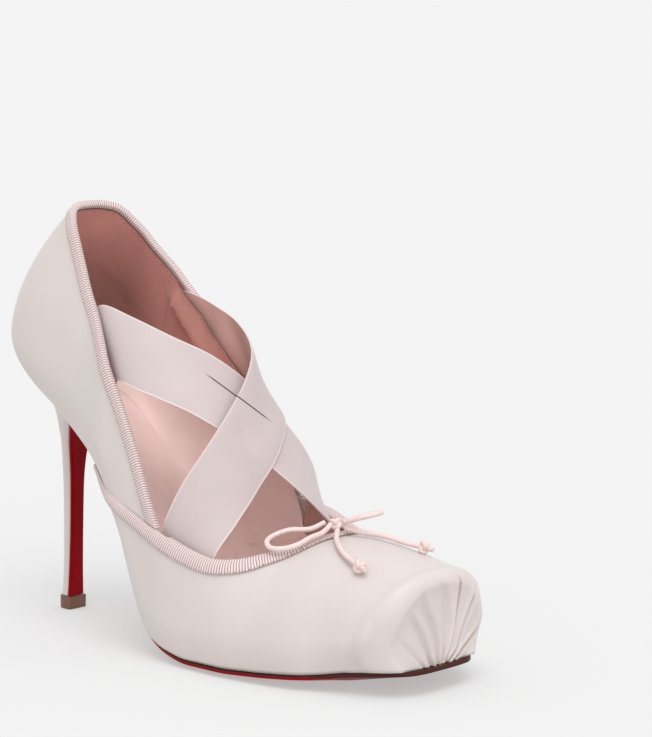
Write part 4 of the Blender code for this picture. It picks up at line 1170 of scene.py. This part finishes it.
def make_insole():
    front = TOE_X - 5.5
    corner = 7.0
    inset = 0.4
    back = SEAT_CENTRE_X - SEAT_RADIUS + inset
    stations = list(back + (SEAT_CENTRE_X - back) * (1 - np.cos(np.linspace(0.05, math.pi / 2, 16))))
    stations += list(np.linspace(17.5, front - corner, 80))
    stations += list(front - corner + corner * np.sin(np.linspace(0, math.pi / 2, 12))[1:])
    rings = []
    for x in stations:
        at, up = sole_path(x)
        if x < SEAT_CENTRE_X:
            lateral = math.sqrt(max((SEAT_RADIUS - inset) ** 2 - (x - SEAT_CENTRE_X) ** 2, 0.01))
            medial = lateral
        else:
            drawn = inset
            lateral = toe_half(x, LATERAL, front, corner, -drawn)
            medial = toe_half(x, MEDIAL, front, corner, -drawn)
        rings.append(slab_ring(at, up, GAP, INSOLE_THICK, INSOLE_THICK - 0.5, lateral, medial))
    return piece("sock", loft(rings), (finish(sock_leather),), ("insole",))


def d_ring(z, slope, back, front, half, count=33):
    """A section of the heel: round at the back, flat at the breast."""
    centre = back + min(half, front - back)
    ring = []
    for angle in np.linspace(-math.pi / 2, math.pi / 2, count):
        ring.append((centre - (centre - back) * math.cos(angle), half * math.sin(angle)))
    ring += [(front - 0.4, half), (front, half - 0.4), (front, 0.0)]
    ring += [(front, 0.4 - half), (front - 0.4, -half)]
    return [(x, y, z + slope * x) for x, y in ring]


def seat_ring(count=33, inset=0.5):
    """The heel's top section, under the round of the seat."""
    limit = math.acos((SEAT_CENTRE_X - SEAT_FRONT_X) / (SEAT_RADIUS - inset))
    ring = []
    for angle in np.linspace(-limit, limit, count):
        x = SEAT_CENTRE_X - (SEAT_RADIUS - inset) * math.cos(angle)
        ring.append((x, (SEAT_RADIUS - inset) * math.sin(angle)))
    half = ring[-1][1]
    front = SEAT_FRONT_X
    ring += [(front + 0.2, half - 0.6), (front + 0.2, half * 0.6), (front, 0.0)]
    ring += [(front + 0.2, -half * 0.6), (front + 0.2, 0.6 - half)]
    points = []
    for x, y in ring:
        at, up = sole_path(x)
        points.append((at[0] - up[0] * GAP, y, at[1] - up[1] * GAP))
    return points


def make_heel():
    rows = table_curve(HEEL_RINGS, Ring._fields[1:], 70)
    rings = [seat_ring()] + [d_ring(*row) for row in zip(*rows)]
    return piece("heel_cover", loft(rings), (finish(satin),), ("heel",), 50)


def make_top_lift():
    rings = [
        d_ring(0.0, 0.0, -3.8, 3.8, 4.2),
        d_ring(0.15, 0.0, -3.95, 3.95, 4.35),
        d_ring(0.4, 0.0, -4.0, 4.0, 4.4),
        d_ring(TOP_LIFT_HEIGHT - 0.5, 0.0, -3.9, 3.9, 4.6),
        d_ring(TOP_LIFT_HEIGHT - 0.15, 0.0, -3.85, 3.85, 4.55),
        d_ring(TOP_LIFT_HEIGHT, 0.0, -3.6, 3.6, 4.4),
    ]
    return piece("lift", loft(rings), (finish(heel_tip),), ("top_lift",), 50)


# ---------------------------------------------------------------- bindings
def evened(grid, passes):
    """The grid's values, each drawn towards its neighbours' a number of times."""
    for _ in range(passes):
        for axis in (0, 1):
            flat = np.moveaxis(grid, axis, 0)
            padded = np.concatenate([flat[:1], flat, flat[-1:]])
            flat = (padded[:-2] + 2 * flat + padded[2:]) / 4
            grid = np.moveaxis(flat, 0, axis)
    return grid


def edge_frames(places):
    """Length along an edge, and the point and direction there."""
    spots = [Vector(p) for p in places]
    run = lengths_along(spots)
    ways = []
    for k in range(len(spots)):
        ways.append((spots[min(k + 1, len(spots) - 1)] - spots[max(k - 1, 0)]).normalized())
    return run, spots, ways


def frame_at(frames, length):
    run, spots, ways = frames
    length = min(max(length, 0.0), run[-1])
    k = min(max(int(np.searchsorted(run, length)) - 1, 0), len(run) - 2)
    t = (length - run[k]) / max(run[k + 1] - run[k], 1e-9)
    return spots[k].lerp(spots[k + 1], t), ways[k].lerp(ways[k + 1], t).normalized()


def binding_section(frames, length, skin, reach, wall_out, wall_in, leg, rib):
    """Fifteen points of a U round the wall's edge, raised by rib on its outside."""
    edge, along = frame_at(frames, length)
    _, normal = skin.near(edge)
    normal = (normal - along * normal.dot(along)).normalized()
    down = along.cross(normal).normalized()
    if down.z > 0:
        down = -down
    thick = sizes().binding_thickness / MM
    near, far = wall_out + GAP, wall_out + GAP + thick
    top = GAP + thick
    low, low_normal = skin.near(edge + down * reach)
    ring = [low + low_normal * near, low + low_normal * (far - 0.12)]
    for share in (0.92, 0.62, 0.3):
        spot, spot_normal = skin.near(edge + down * reach * share)
        ring.append(spot + spot_normal * (far + rib))
    ring += [edge + normal * (far + rib) - down * (top - 0.45)]
    ring += [edge + normal * (far - 0.3) - down * (top + rib)]
    inner_near, inner_far = -wall_in - GAP, -wall_in - GAP - thick
    if leg >= 0:
        foot, foot_normal = skin.near(edge + down * leg)
        foot = foot - down * max(GAP - leg, 0.0)
        half, half_normal = skin.near(edge + down * leg * 0.5)
        half = half - down * max(GAP - leg * 0.5, 0.0)
        ring += [edge + normal * (inner_far + 0.3) - down * (top + rib)]
        ring += [edge + normal * (inner_far - rib) - down * (top - 0.45)]
        ring += [half + half_normal * (inner_far - rib), foot + foot_normal * inner_far]
        ring += [foot + foot_normal * inner_near, half + half_normal * inner_near]
        ring += [edge + normal * inner_near - down * GAP]
    else:
        for lift in (top, top - 0.08, top - 0.16, top - 0.24, GAP + 0.1, GAP + 0.05, GAP):
            ring.append(edge + normal * GAP - down * lift)
    ring.append(edge + normal * near - down * GAP)
    return ring


def ribbed_stations(low, high):
    """Four stations to a rib, and how far each stands out."""
    pitch = sizes().rib_pitch / MM
    count = int((high - low) / pitch * 4)
    lengths = np.linspace(low, high, count)
    phase = (lengths / pitch) % 1.0
    return lengths, 0.09 * np.cos(2 * math.pi * phase)


def lay_runs(bm, rings, runs):
    """Writes each ring's place along the piece into the UV map, so that ribs stay square to it."""
    turn = len(rings[0])
    tree = KDTree(len(rings) * turn)
    for k, ring in enumerate(rings):
        for j, spot in enumerate(ring):
            tree.insert(Vector(spot), k * turn + j)
    tree.balance()
    uv = bm.loops.layers.uv.verify()
    for vert in bm.verts:
        _, found, _ = tree.find(vert.co / MM)
        for loop in vert.link_loops:
            loop[uv].uv.x = runs[found // turn] * MM
    return bm


def make_collar_binding():
    skin = SKINS["quarter"]
    frames = edge_frames(SKINS["collar"])
    total = frames[0][-1]
    width = sizes().binding_width / MM - COLLAR_RIBBON_SHORTER

    def section(length, rib=0.0):
        sunk = QUARTER_WALL - COLLAR_RIBBON_SUNK
        return binding_section(frames, length, skin, width, 0.0, sunk, COLLAR_RIBBON_INSIDE, rib)

    count = len(section(total / 2))

    def above_vamp(length, k):
        p = section(length)[k]
        return p.z - column(WINGS, half_column(1 if p.y > 0 else -1), p.x, "edge_x") - 1.6

    def crossing(k, inside, outside):
        for _ in range(16):
            middle = (inside + outside) / 2
            if above_vamp(middle, k) > 0:
                inside = middle
            else:
                outside = middle
        return inside

    first = [crossing(k, total / 2, 0.0) for k in range(count)]
    last = [crossing(k, total / 2, total) for k in range(count)]
    low, high = min(first), max(last)
    blend = 12.0
    rings = []
    runs, ribs = ribbed_stations(low, high)
    for length, rib in zip(runs, ribs):
        if low + blend < length < high - blend:
            rings.append(section(length, rib))
            continue
        ring = []
        for k in range(count):
            if length <= low + blend:
                at = first[k] + (length - low) * (low + blend - first[k]) / blend
            else:
                at = last[k] - (high - length) * (last[k] - high + blend) / blend
            ring.append(section(at, rib)[k])
        rings.append(ring)
    bm = lay_runs(loft(rings), rings, runs)
    return piece("collar_ribbon", bm, (finish(ribbon),), ("collar_binding",), 60)


def make_vamp_binding():
    skin = SKINS["vamp"]
    path = np.array([list(p) for p in SKINS["throat"]])
    frames = edge_frames(evened(path[:, None], 24)[:, 0])
    width = sizes().binding_width / MM
    tip = WING_TIP - VAMP_RIBBON_PAST
    low = next(r for r, p in zip(frames[0], frames[1]) if p.x > tip)
    high = next(r for r, p in zip(frames[0][::-1], frames[1][::-1]) if p.x > tip)
    rings = []
    runs, ribs = ribbed_stations(low, high)
    for length, rib in zip(runs, ribs):
        edge, _ = frame_at(frames, length)
        room = float(smooth_steps(VAMP_RIBBON_X, VAMP_RIBBON_REACH + (width,), edge.x))
        past = edge.x - VAMP_LEG_X[LATERAL if edge.y < 0 else MEDIAL]
        leg = -1.0 if past < 0 else min(max(past - 1.0, 0.0) * 1.2, width)
        rings.append(binding_section(frames, length, skin, room, 0.15, VAMP_WALL + 0.3, leg, rib))
    bm = lay_runs(loft(rings), rings, runs)
    return piece("vamp_ribbon", bm, (finish(ribbon),), ("vamp_binding",), 60)


# ---------------------------------------------------------------- straps
def tucked(point, skins):
    """The point moved in where it would touch a wall, its binding or the lining behind them."""
    place = Vector(point)
    for skin, depth in skins:
        near, normal = skin.near(place)
        off = place - near
        out = off.dot(normal)
        past = (off - normal * out).length
        need = -depth * min(max(1.0 - (past - 1.2) / 5.0, 0.0), 1.0)
        if need < 0 and need < out < 6.0:
            place += normal * (need - out)
    return place


def lifted(point, below):
    """The point moved out where it would touch the strap below."""
    place = Vector(point)
    near, normal = below.near(place)
    if normal.dot(Vector(CROSSING_FACE)) < 0:
        normal = -normal
    off = place - near
    out = off.dot(normal)
    past = (off - normal * out).length
    share = min(max(1.0 - (past - 1.2) / 5.0, 0.0), 1.0)
    room = sizes().strap_thickness / MM + STRAP_CLEAR
    return place + normal * max(room - out, 0.0) * share


def widened(grid, reach):
    """The grid's values, each raised to the largest within reach of it."""
    for axis in (0, 1):
        flat = np.moveaxis(grid, axis, 0)
        padded = np.concatenate([flat[:1]] * reach + [flat] + [flat[-1:]] * reach)
        flat = np.max([padded[k : k + len(flat)] for k in range(2 * reach + 1)], axis=0)
        grid = np.moveaxis(flat, 0, axis)
    return grid


STRAP_ROWS = 101
FACING_TOP = 1.2
FACING_RISE = 0.4
FACING_SHOWN = 84.0
FACING_FOOT = 32.0
STRAP_COLUMNS = 21


def strap_middle(table, below):
    thick = sizes().strap_thickness / MM
    binding = sizes().binding_thickness / MM
    skins = ((SKINS["quarter"], QUARTER_WALL + STRAP_OFF_LINING + thick / 2),)
    skins += ((SKINS["vamp"], VAMP_WALL + binding + 2 * GAP + thick / 2 + 0.7),)
    upper = through([r.upper for r in table], STRAP_ROWS)
    lower = through([r.lower for r in table], STRAP_ROWS)
    across = np.linspace(0, 1, STRAP_COLUMNS)
    middle = np.array([[u * (1 - t) + v * t for t in across] for u, v in zip(upper, lower)])
    moved = np.array([[tucked(p, skins) for p in row] for row in middle])
    if below:
        moved = np.array([[lifted(p, below) for p in row] for row in moved])
    return middle + evened(moved - middle, 8)


def weave(bm, middle):
    """Lays the elastic's weave on a strap: its UV map runs along it, and across it by its full width."""
    wide = sizes().strap_width
    run = lengths_along(middle[:, STRAP_COLUMNS // 2])
    spots = middle.reshape(-1, 3)
    tree = KDTree(len(spots))
    for k, spot in enumerate(spots):
        tree.insert(Vector(spot), k)
    tree.balance()
    uv = bm.loops.layers.uv.verify()
    for face in bm.faces:
        for loop in face.loops:
            _, k, _ = tree.find(loop.vert.co / MM)
            row, place = divmod(k, STRAP_COLUMNS)
            loop[uv].uv = (run[row] * MM, wide * place / (STRAP_COLUMNS - 1))


def make_strap(name, table, below, node):
    middle = strap_middle(table, below)
    normals = np.cross(np.gradient(middle, axis=0), np.gradient(middle, axis=1))
    nearest = np.argmin(np.linalg.norm(middle - np.array(CROSSING), axis=2))
    facing = normals.reshape(-1, 3)[nearest] @ np.array(CROSSING_FACE)
    normals *= np.sign(facing) / np.linalg.norm(normals, axis=2, keepdims=True)
    half = sizes().strap_thickness / MM / 2
    across = np.linspace(-1, 1, STRAP_COLUMNS)
    depth = half * (1 - 0.45 * np.abs(across) ** 12)
    outside = middle + normals * depth[:, None]
    inside = middle - normals * depth[:, None]
    bm = loft(np.concatenate([outside, inside[:, ::-1]], axis=1))
    weave(bm, middle)
    skin_bm = bmesh.new()
    lay_grid(skin_bm, middle)
    SKINS[name] = Skin(skin_bm)
    skin_bm.free()
    made = piece(name, bm, (finish(elastic), finish(strap_back)), (node,))
    tree = SKINS[name]
    out = Vector(normals.reshape(-1, 3)[nearest])
    for face in made.data.polygons:
        near, normal = tree.near(face.center / MM)
        side = face.normal.dot(normal) * normal_sign(tree, out, middle, nearest)
        if (face.center / MM - near).length > half * 0.3 and side < -0.5:
            face.material_index = 1
    return made


def make_facing():
    """The lining's top: a strip just under the topline, all round the collar and over the straps' ends,
    marked for a dark line of painted shade along its top edge.
    """
    skin = SKINS["quarter"]
    frames = edge_frames(SKINS["collar"])
    total = frames[0][-1]
    runs = np.linspace(0.06 * total, total - 1.0, 281)
    depths = np.linspace(FACING_TOP, FACING_FOOT, 47)
    spots = np.zeros((len(runs), len(depths), 3))
    ways = np.zeros((len(runs), len(depths), 3))
    need = np.zeros((len(runs), len(depths)))
    for i, run in enumerate(runs):
        edge, along = frame_at(frames, run)
        _, normal = skin.near(edge)
        normal = (normal - along * normal.dot(along)).normalized()
        down = along.cross(normal).normalized()
        if down.z > 0:
            down = -down
        over = FACING_RISE * float(ease(edge.x, 30.0, 42.0)) * (edge.y > 0)
        over += (FACING_TOP - FACING_RISE) * float(ease(edge.x, 78.0, 88.0)) * (edge.y > 0)
        for j, depth in enumerate(depths):
            spot, way = skin.near(edge + down * (depth - over * (1 - j / (len(depths) - 1))))
            spots[i, j] = spot
            ways[i, j] = way
            for strap in ("inner_strap", "outer_strap"):
                hit = SKINS[strap].tree.ray_cast(spot - way * 0.5, -way, 5.0)
                if hit[0] is not None:
                    need[i, j] = max(need[i, j], hit[3] + 0.5 + 0.55)
    fall = 1 - ease(depths, FACING_TOP, FACING_TOP + 7)
    base = QUARTER_WALL + 0.05 + 0.3 * fall
    room = evened(widened(np.maximum(base, need), 2), 8)
    room = np.maximum(room, need)
    thick = 0.4 * (1 - ease(depths, FACING_FOOT - 6, FACING_FOOT)) + 0.03
    outside = spots - ways * (room + thick)[..., None]
    inside = spots - ways * room[..., None]
    bm = loft(np.concatenate([outside, inside[:, ::-1]], axis=1))
    # Painted shade: the top rows are marked for a dark line along the edge, where the turned edge casts
    # shade.
    crease = bm.verts.layers.float.new("crease")
    tree = KDTree(len(runs))
    shown = sum(1 for run in runs if frame_at(frames, run)[0].x < FACING_SHOWN or run < total / 2)
    for k, spot in enumerate(((outside[:, 0] + inside[:, 0]) / 2)[:shown]):
        tree.insert(Vector(spot), k)
    tree.balance()
    for vert in bm.verts:
        vert[crease] = 1.0 if tree.find(vert.co / MM)[2] < 0.55 else 0.0
    made = piece("lining_facing", bm, (finish(lining_leather),))
    sheet = bmesh.new()
    lay_grid(sheet, outside)
    SKINS["facing"] = Skin(sheet)
    sheet.free()
    inward = [-Vector(way) for way in ways[:, 2]]
    make_stitches("facing_stitches", outside[:shown, 2], inward, 1.9)
    seam = through(SEAM, 60)
    spots = [SKINS["facing"].near(spot)[0] for spot in seam]
    inward = [-SKINS["quarter"].near(spot)[1] for spot in seam]
    make_stitches("seam_stitches", spots, inward, 1.5)
    return made


def make_stitches(name, spots, inward, pitch):
    """A row of short stitches of sewing thread, sunk a little into the leather."""
    frames = edge_frames(spots)
    run = frames[0]
    bm = bmesh.new()
    for length in np.arange(pitch, run[-1] - pitch, pitch):
        spot, along = frame_at(frames, length)
        out = inward[min(int(np.searchsorted(run, length)), len(run) - 1)].normalized()
        made = bmesh.ops.create_icosphere(bm, subdivisions=1, radius=1.0)
        side = out.cross(along).normalized()
        turn = Matrix((along, side, along.cross(side))).transposed().to_4x4()
        place = Matrix.Translation((spot + out * 0.04) * MM) @ turn
        size = Matrix.Diagonal((pitch * 0.33 * MM, 0.17 * MM, 0.15 * MM, 1.0))
        bmesh.ops.transform(bm, matrix=place @ size, verts=made["verts"])
    bmesh.ops.recalc_face_normals(bm, faces=bm.faces)
    return piece(name, bm, (finish(thread),), sharp=180)


def normal_sign(tree, out, middle, nearest):
    """Whether the sheet's own normals look outwards."""
    _, normal = tree.near(middle.reshape(-1, 3)[nearest])
    return 1.0 if normal.dot(out) > 0 else -1.0


# ---------------------------------------------------------------- bow
def make_cord(name, points, end, node):
    """A run of the bow's cord along the given points."""
    path = through(points, 40) * MM
    diameter = sizes().cord_diameter
    curve = bpy.data.curves.new(name, "CURVE")
    curve.dimensions = "3D"
    curve.bevel_depth = diameter / 2
    curve.bevel_resolution = 5
    curve.use_fill_caps = True
    spline = curve.splines.new("POLY")
    spline.points.add(len(path) - 1)
    for point, place in zip(spline.points, path):
        point.co = (*place, 1.0)
    spline.use_smooth = True
    curve.materials.append(finish(cord_satin))
    made = bpy.data.objects.new(name, curve)
    bpy.context.scene.collection.objects.link(made)
    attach(made, "root")
    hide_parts(node)
    return made


def wound(name, centre, turns, axis, node, stretch=(1.0, 1.0, 1.0)):
    """A small knot: the cord wound along a closed path of three crossings, drawn tight."""
    bm = bmesh.new()
    radius = sizes().cord_diameter / 2 * turns
    spin = Vector(axis).normalized().to_track_quat("Z", "X").to_matrix().to_4x4()
    count = 60
    ring = 14
    path = []
    for k in range(count):
        a = 2 * math.pi * k / count
        x = math.sin(a) + 2 * math.sin(2 * a)
        y = math.cos(a) - 2 * math.cos(2 * a)
        z = -math.sin(3 * a)
        path.append(Vector((x * 0.42 * stretch[0], y * 0.42 * stretch[1], z * 0.55 * stretch[2])) * radius)
    rings = []
    for k, spot in enumerate(path):
        way = (path[(k + 1) % count] - path[k - 1]).normalized()
        turn = way.to_track_quat("Z", "Y").to_matrix().to_4x4()
        made = bmesh.ops.create_circle(bm, segments=ring, radius=radius * 0.62, cap_ends=False)
        place = Matrix.Translation(Vector(centre) * MM) @ spin @ Matrix.Translation(spot) @ turn
        bmesh.ops.transform(bm, matrix=place, verts=made["verts"])
        rings.append([e for e in bm.edges if e.verts[0] in made["verts"] and e.verts[1] in made["verts"]])
    for k in range(count):
        bmesh.ops.bridge_loops(bm, edges=rings[k - 1] + rings[k])
    bmesh.ops.recalc_face_normals(bm, faces=bm.faces)
    return piece(name, bm, (finish(cord_satin),), (node,), 80)


def make_bow():
    wound("centre_knot", KNOT, 1.55, (0.6, 0.0, 0.8), "bow_knot")
    outer_end = wound("outer_end_knot", OUTER_END, 1.5, (1.0, -0.25, -0.1), "bow_end_outer")
    inner_end = wound("inner_end_knot", INNER_END, 1.5, (1.0, 0.3, -0.15), "bow_end_inner")
    make_cord("outer_loop", OUTER_LOOP, None, "bow_loop_outer")
    make_cord("inner_loop", INNER_LOOP, None, "bow_loop_inner")
    make_cord("outer_tail", OUTER_TAIL + OUTER_STUB, None, "bow_tail_outer")
    make_cord("inner_tail", INNER_TAIL + INNER_STUB, None, "bow_tail_inner")


# ---------------------------------------------------------------- stage
def make_camera():
    camera = bpy.data.cameras.new("camera")
    camera.lens = 145.07
    camera.sensor_width = 36.0
    camera.clip_start = 0.05
    eye = bpy.data.objects.new("camera", camera)
    ways = ((0.689, -0.701, 0.184), (0.713, 0.701, 0.0), (-0.129, 0.131, 0.983))
    back, right, up = (Vector(way) for way in ways)
    back = back.normalized()
    place = Vector((0.0813, 0.0, 0.060)) + back * 1.1
    back = (back - right * 0.03575 - up * 0.03841).normalized()
    up = (up - back * up.dot(back)).normalized()
    right = up.cross(back)
    eye.matrix_world = Matrix(
        (
            (right.x, up.x, back.x, place.x),
            (right.y, up.y, back.y, place.y),
            (right.z, up.z, back.z, place.z),
            (0.0, 0.0, 0.0, 1.0),
        )
    )
    bpy.context.scene.collection.objects.link(eye)
    bpy.context.scene.camera = eye


def make_lamp(name, towards, strength, spread):
    """A distant soft light that shines from the given direction."""
    lamp = bpy.data.lights.new(name, "SUN")
    lamp.energy = strength
    lamp.angle = math.radians(spread)
    made = bpy.data.objects.new(name, lamp)
    made.rotation_euler = Vector(towards).to_track_quat("Z", "Y").to_euler()
    bpy.context.scene.collection.objects.link(made)


def make_studio():
    world = bpy.data.worlds.new("studio")
    world.use_nodes = True
    sky = world.node_tree.nodes["Background"]
    sky.inputs["Color"].default_value = (*colours().backdrop, 1.0)
    sky.inputs["Strength"].default_value = sizes().sky
    bpy.context.scene.world = world
    bpy.context.scene.view_settings.view_transform = "Standard"
    bm = bmesh.new()
    bmesh.ops.create_circle(bm, cap_ends=True, segments=64, radius=40.0)
    mesh = bpy.data.meshes.new("floor")
    bm.to_mesh(mesh)
    bm.free()
    mesh.materials.append(finish(floor_paper))
    floor = bpy.data.objects.new("floor", mesh)
    bpy.context.scene.collection.objects.link(floor)
    make_lamp("key", (0.4, -0.35, 1.2), 1.35, 40.0)
    make_lamp("front", (1.0, -0.6, 0.35), 0.7, 45.0)


# ---------------------------------------------------------------- the add-on
def length(name, description, default, **more):
    more.update(unit="LENGTH", subtype="DISTANCE")
    return FloatProperty(name=name, description=description, default=default, **more)


def shade(name, description, default):
    limits = {"size": 3, "min": 0, "max": 1, "subtype": "COLOR"}
    return FloatVectorProperty(name=name, description=description, default=default, **limits)


class PumpSizes(bpy.types.PropertyGroup):
    cord_diameter: length("Bow cord", "Diameter of the bow's cord", 0.0019)
    binding_width: length("Binding width", "How far the ribbon comes down each side of an edge", 0.0046)
    binding_thickness: length("Binding thickness", "Thickness of the folded ribbon", 0.0005)
    rib_pitch: length("Rib pitch", "From one rib of the ribbon to the next", 0.00097)
    edge_stitch: length("Edge stitch", "Length of the stitches at the ribbon's lower edge", 0.0016)
    strap_width: length("Strap width", "Width of the crossed elastic straps", 0.025)
    strap_thickness: length("Strap thickness", "Thickness of the elastic", 0.001)
    pleat_depth: length("Pleat depth", "How deep the gathers at the toe are, against the table", 0.001)
    sky: FloatProperty(name="Room light", description="Strength of the light all round", default=0.88, min=0)


class PumpColours(bpy.types.PropertyGroup):
    satin: shade("Satin", "Upper and heel", (0.61, 0.55, 0.525))
    # Painted shade: a dark colour for the shade under the lining's turned edge and along the straps' sunk
    # line where they cross.
    hollow_shade: shade("Hollows", "Under the lining's turned edge", (0.10, 0.035, 0.028))
    # Painted shade: the colour deep in the pressed pleats, for the shade there.
    crease: shade("Crease", "Deep in the pressed pleats", (0.42, 0.20, 0.15))
    lining: shade("Lining", "Leather inside the upper", (0.66, 0.32, 0.275))
    insole: shade("Insole", "Leather of the sock", (0.96, 0.76, 0.72))
    strap: shade("Strap", "Outer face of the straps", (0.50, 0.42, 0.42))
    strap_back: shade("Strap back", "Inner face of the straps", (0.52, 0.30, 0.26))
    selvedge: shade("Strap edges", "Woven edges of the straps", (0.68, 0.56, 0.53))
    ribbon: shade("Ribbon", "Ribs of the binding", (0.70, 0.605, 0.59))
    # Painted shade: the colour between the binding's ribs, for the shade in the grooves.
    groove_shade: shade("Ribbon grooves", "Between the binding's ribs", (0.37, 0.21, 0.20))
    bow: shade("Bow", "Satin cord of the bow", (0.74, 0.58, 0.56))
    red: shade("Sole", "Lacquer under the shoe", (0.27, 0.002, 0.008))
    edge: shade("Sole edge", "Waxed edge of the sole", (0.055, 0.012, 0.009))
    tip: shade("Top lift", "Hard tip of the heel", (0.16, 0.075, 0.05))
    thread: shade("Thread", "Sewing thread", (0.30, 0.12, 0.10))
    floor: shade("Floor", "Paper under the shoe", (0.36, 0.36, 0.36))
    backdrop: shade("Backdrop", "Light from the room", (1.0, 1.0, 1.0))


class PUMP_OT_stage(bpy.types.Operator):
    """Place the camera, the lights and the floor"""

    bl_idname = "pump.stage"
    bl_label = "Stage"

    def execute(self, context):
        make_camera()
        make_studio()
        return {"FINISHED"}


class PUMP_OT_bow(bpy.types.Operator):
    """Tie the cord bow with its loops, tails and knots"""

    bl_idname = "pump.bow"
    bl_label = "Bow"

    def execute(self, context):
        make_bow()
        return {"FINISHED"}


class PUMP_OT_upper(bpy.types.Operator):
    """Last the quarter and the pleated vamp, with their lining"""

    bl_idname = "pump.upper"
    bl_label = "Upper"

    def execute(self, context):
        make_quarter()
        make_vamp()
        return {"FINISHED"}


class PUMP_OT_bindings(bpy.types.Operator):
    """Fold the ribbed ribbon round both edges of the upper"""

    bl_idname = "pump.bindings"
    bl_label = "Bindings"

    def execute(self, context):
        make_collar_binding()
        make_vamp_binding()
        return {"FINISHED"}


class PUMP_OT_straps(bpy.types.Operator):
    """Cross the two elastic straps over the instep, and turn the lining's top over their ends"""

    bl_idname = "pump.straps"
    bl_label = "Straps"

    def execute(self, context):
        make_strap("inner_strap", UNDER_STRAP, None, "strap_under")
        make_strap("outer_strap", OVER_STRAP, SKINS["inner_strap"], "strap_over")
        make_facing()
        return {"FINISHED"}


class PUMP_OT_sole(bpy.types.Operator):
    """Fit the lacquered outsole and the padded insole"""

    bl_idname = "pump.sole"
    bl_label = "Sole"

    def execute(self, context):
        make_outsole()
        make_insole()
        return {"FINISHED"}


class PUMP_OT_heel(bpy.types.Operator):
    """Cover the heel and set its top lift"""

    bl_idname = "pump.heel"
    bl_label = "Heel"

    def execute(self, context):
        make_heel()
        make_top_lift()
        return {"FINISHED"}


OPERATORS = (
    PUMP_OT_stage,
    PUMP_OT_bow,
    PUMP_OT_upper,
    PUMP_OT_bindings,
    PUMP_OT_straps,
    PUMP_OT_sole,
    PUMP_OT_heel,
)


class PUMP_PT_panel(bpy.types.Panel):
    """The pump's sizes, colours and pieces"""

    bl_idname = "PUMP_PT_panel"
    bl_label = "Satin pump"
    bl_space_type = "VIEW_3D"
    bl_region_type = "UI"
    bl_category = "Pump"

    def draw(self, context):
        for group in (context.scene.pump_sizes, context.scene.pump_colours):
            box = self.layout.box()
            for name in group.__annotations__:
                box.prop(group, name)
        for operator in OPERATORS:
            self.layout.operator(operator.bl_idname)


CLASSES = (PumpSizes, PumpColours, *OPERATORS, PUMP_PT_panel)


def register():
    for made in CLASSES:
        bpy.utils.register_class(made)
    bpy.types.Scene.pump_sizes = PointerProperty(type=PumpSizes)
    bpy.types.Scene.pump_colours = PointerProperty(type=PumpColours)


def unregister():
    del bpy.types.Scene.pump_colours
    del bpy.types.Scene.pump_sizes
    for made in reversed(CLASSES):
        bpy.utils.unregister_class(made)


def main():
    register()
    for operator in OPERATORS:
        group, name = operator.bl_idname.split(".")
        getattr(getattr(bpy.ops, group), name)()
    bpy.context.view_layer.update()


if __name__ == "__main__":
    main()
